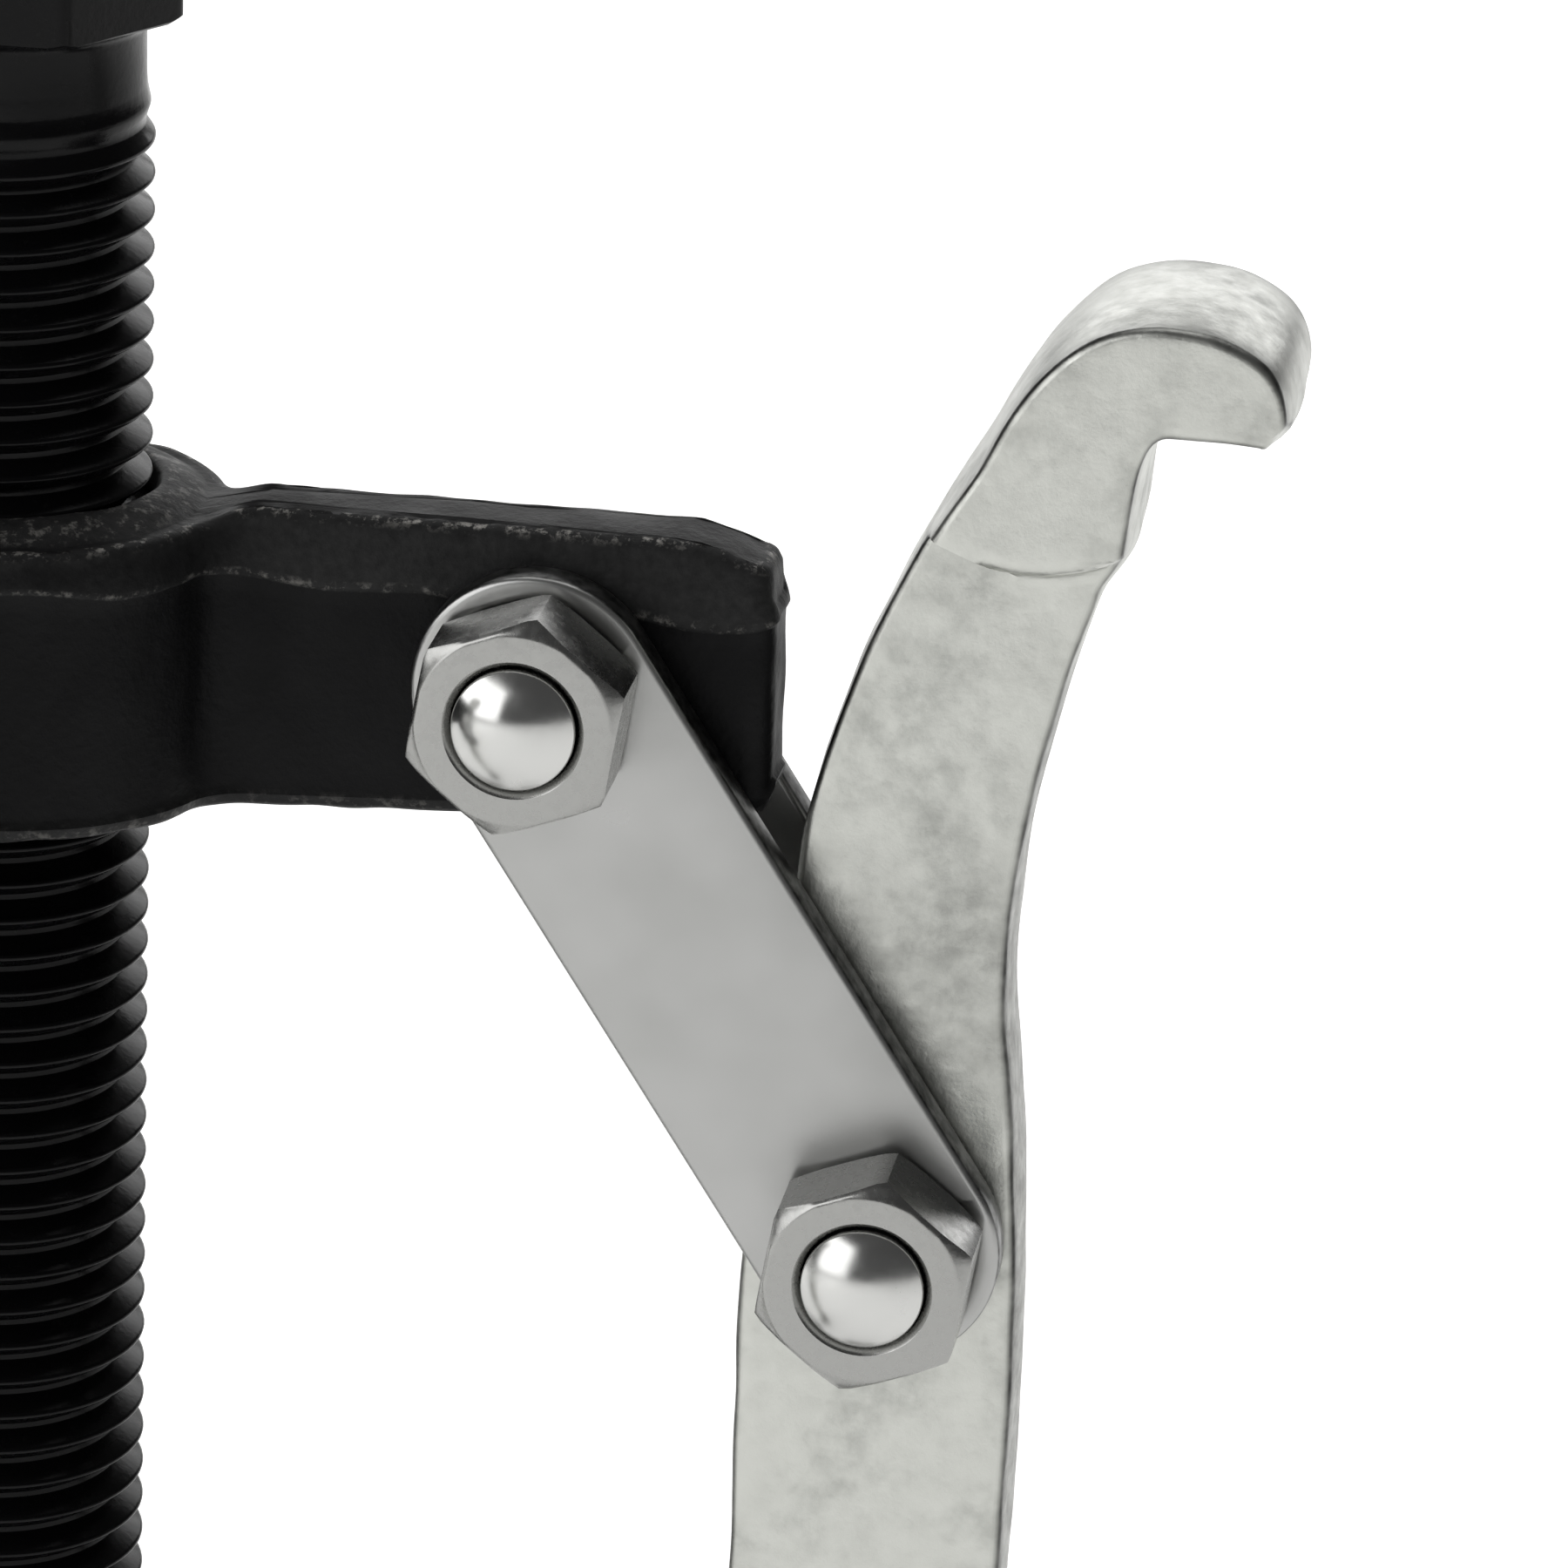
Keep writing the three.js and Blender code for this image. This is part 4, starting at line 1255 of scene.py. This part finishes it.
def rounded_tip(grid, last, before, cap):
    """Rows past a tip's last section: each is moved out by cap times a sine and shrunk inward by
    cap times one less the cosine, and the first row is a pole in the middle."""
    section = grid[last]
    centre = section.mean(axis=0)
    out = unit((section - grid[before]).mean(axis=0)[None, :])[0]
    reach = np.abs(section - centre).max(axis=0)
    reach = np.maximum(reach, cap)
    rows = [np.broadcast_to(centre + out * cap, section.shape)]
    for angle in np.radians([90, 68, 45, 22]):
        shrink = 1 - cap * (1 - math.cos(angle)) / reach
        rows.append(centre + (section - centre) * shrink + out * cap * math.sin(angle))
    return np.stack(rows)


class PULLER_OT_jaws(bpy.types.Operator):
    """Builds the three reversible jaws"""

    bl_idname = "puller.jaws"
    bl_label = "Jaws"

    def execute(self, context):
        sizes, links = context.scene.puller_jaws, context.scene.puller_links
        for arm in ARMS:
            name = f"jaw_forging_{arm}"
            grid, dark_edge_grid, trimmed = jaw_grid()
            attributes = [("seam", [dark_edge_grid]), ("trimmed", [trimmed])]
            mesh = make_mesh(name, turned_about_screw([grid], arm), attributes, sharp_angle=50)
            roughen(mesh, sizes.unevenness, 5.0, seed=20 + arm)
            mesh = drill(mesh, lower_pivot, arm, links.hole, jaw_leg_half() + 2)
            add_piece(name, mesh, f"jaw_{arm}", f"jaw_{arm}", zinc_plated_forging())
        return {"FINISHED"}


# ---- Stage ----

def add_soft_box(name, place, width, height, power, aim=(0.03, 0.0, 0.11)):
    """An area light at a place in metres that faces the object and isn't seen by the camera."""
    lamp = bpy.data.lights.new(name, "AREA")
    lamp.shape, lamp.size, lamp.size_y, lamp.energy = "RECTANGLE", width, height, power
    holder = bpy.data.objects.new(name, lamp)
    holder.location = place
    holder.rotation_mode = "QUATERNION"
    holder.rotation_quaternion = (Vector(aim) - Vector(place)).to_track_quat("-Z", "Y")
    holder.visible_camera = False
    bpy.context.scene.collection.objects.link(holder)


class PULLER_OT_stage(bpy.types.Operator):
    """Builds the camera, the pale floor and the soft light"""

    bl_idname = "puller.stage"
    bl_label = "Stage"

    def execute(self, context):
        stage = context.scene.puller_stage
        self.add_camera(context.scene, stage)
        self.add_floor(context.scene, stage)
        self.add_room(context.scene, stage)
        add_soft_box("key_soft_box", (-0.95, -0.8, 0.6), 1.5, 1.0, stage.key_power)
        add_soft_box("back_soft_box", (-0.2, 1.9, 0.75), 2.6, 1.0, stage.back_power)
        add_soft_box("top_soft_box", (0.0, 0.5, 1.9), 1.6, 1.2, stage.top_power)
        context.scene.view_settings.view_transform = "Standard"
        return {"FINISHED"}

    def add_camera(self, scene, stage):
        """Places the camera by its direction round the object, its height angle and its lean."""
        camera = bpy.data.cameras.new("camera")
        camera.lens, camera.sensor_width = stage.lens, 36
        camera.clip_start, camera.clip_end = 0.05, 60
        holder = bpy.data.objects.new("camera", camera)
        azimuth, elevation = math.radians(stage.azimuth), math.radians(stage.elevation)
        back = Vector((math.sin(azimuth) * math.cos(elevation),
                       -math.cos(azimuth) * math.cos(elevation), math.sin(elevation)))
        lean = Matrix.Rotation(math.radians(stage.roll), 4, "Z")
        place = Vector((stage.camera_x, stage.camera_y, stage.camera_z)) * MM
        facing = (-back).to_track_quat("-Z", "Y").to_matrix().to_4x4()
        holder.matrix_world = Matrix.Translation(place) @ facing @ lean
        scene.collection.objects.link(holder)
        scene.camera = holder

    def add_floor(self, scene, stage):
        """A round floor under the lowest point of the puller, as rings from its middle."""
        angles = np.linspace(0, TURN, 97)
        level = cad_box[0].z / MM
        radii = [0, *np.geomspace(200, stage.floor_radius, 8), stage.floor_radius, 0]
        levels = [level] * 9 + [level - 5, level - 5]
        mesh = make_mesh("studio_floor", [rings(radii, levels, angles)])
        paper = scene.puller_finishes.paper
        material, shader, _ = finish("Matt white paper", paper, 0.9, 0.0, 0.2)
        shader.inputs["Emission Color"].default_value = paper
        shader.inputs["Emission Strength"].default_value = stage.floor_glow
        mesh.materials.append(material)
        floor = bpy.data.objects.new("studio_floor", mesh)
        scene.collection.objects.link(floor)

    def add_room(self, scene, stage):
        """A dim room for light and reflections, with a pale backdrop where the camera sees it."""
        world = bpy.data.worlds.new("room")
        world.use_nodes = True
        scene.world = world
        nodes, links = world.node_tree.nodes, world.node_tree.links
        nodes.clear()
        dim, pale = nodes.new("ShaderNodeBackground"), nodes.new("ShaderNodeBackground")
        dim.inputs["Color"].default_value = (1, 1, 1, 1)
        dim.inputs["Strength"].default_value = stage.dim
        pale.inputs["Color"].default_value = scene.puller_finishes.paper
        choice, path, output = (nodes.new(f"ShaderNode{kind}")
                                for kind in ("MixShader", "LightPath", "OutputWorld"))
        links.new(path.outputs["Is Camera Ray"], choice.inputs[0])
        links.new(dim.outputs[0], choice.inputs[1])
        links.new(pale.outputs[0], choice.inputs[2])
        links.new(choice.outputs[0], output.inputs["Surface"])


# ---- Panel and registration ----

OPERATORS = (
    PULLER_OT_stage,
    PULLER_OT_forcing_screw,
    PULLER_OT_pressure_tip,
    PULLER_OT_yoke,
    PULLER_OT_straps,
    PULLER_OT_fasteners,
    PULLER_OT_jaws,
)


class PULLER_PT_pieces(bpy.types.Panel):
    """Lists the sizes and the pieces of the puller"""

    bl_idname = "PULLER_PT_pieces"
    bl_label = "Gear puller"
    bl_space_type = "VIEW_3D"
    bl_region_type = "UI"
    bl_category = "Puller"

    def draw(self, context):
        for operator in OPERATORS:
            self.layout.operator(operator.bl_idname)
        for label, group in SETTINGS.items():
            box = self.layout.box()
            box.label(text=group.__doc__)
            for key in group.__annotations__:
                box.prop(getattr(context.scene, label), key)


CLASSES = (*SETTINGS.values(), *OPERATORS, PULLER_PT_pieces)


def register():
    for item in CLASSES:
        bpy.utils.register_class(item)
    for label, group in SETTINGS.items():
        setattr(bpy.types.Scene, label, PointerProperty(type=group))


def unregister():
    for label in SETTINGS:
        delattr(bpy.types.Scene, label)
    for item in reversed(CLASSES):
        bpy.utils.unregister_class(item)


def main():
    register()
    for item in list(bpy.data.objects):
        if item.name in ("Cube", "Light", "Camera"):
            bpy.data.objects.remove(item)
    bpy.ops.puller.stage()
    bpy.ops.puller.forcing_screw()
    bpy.ops.puller.pressure_tip()
    bpy.ops.puller.yoke()
    bpy.ops.puller.straps()
    bpy.ops.puller.fasteners()
    bpy.ops.puller.jaws()


if __name__ == "__main__":
    main()
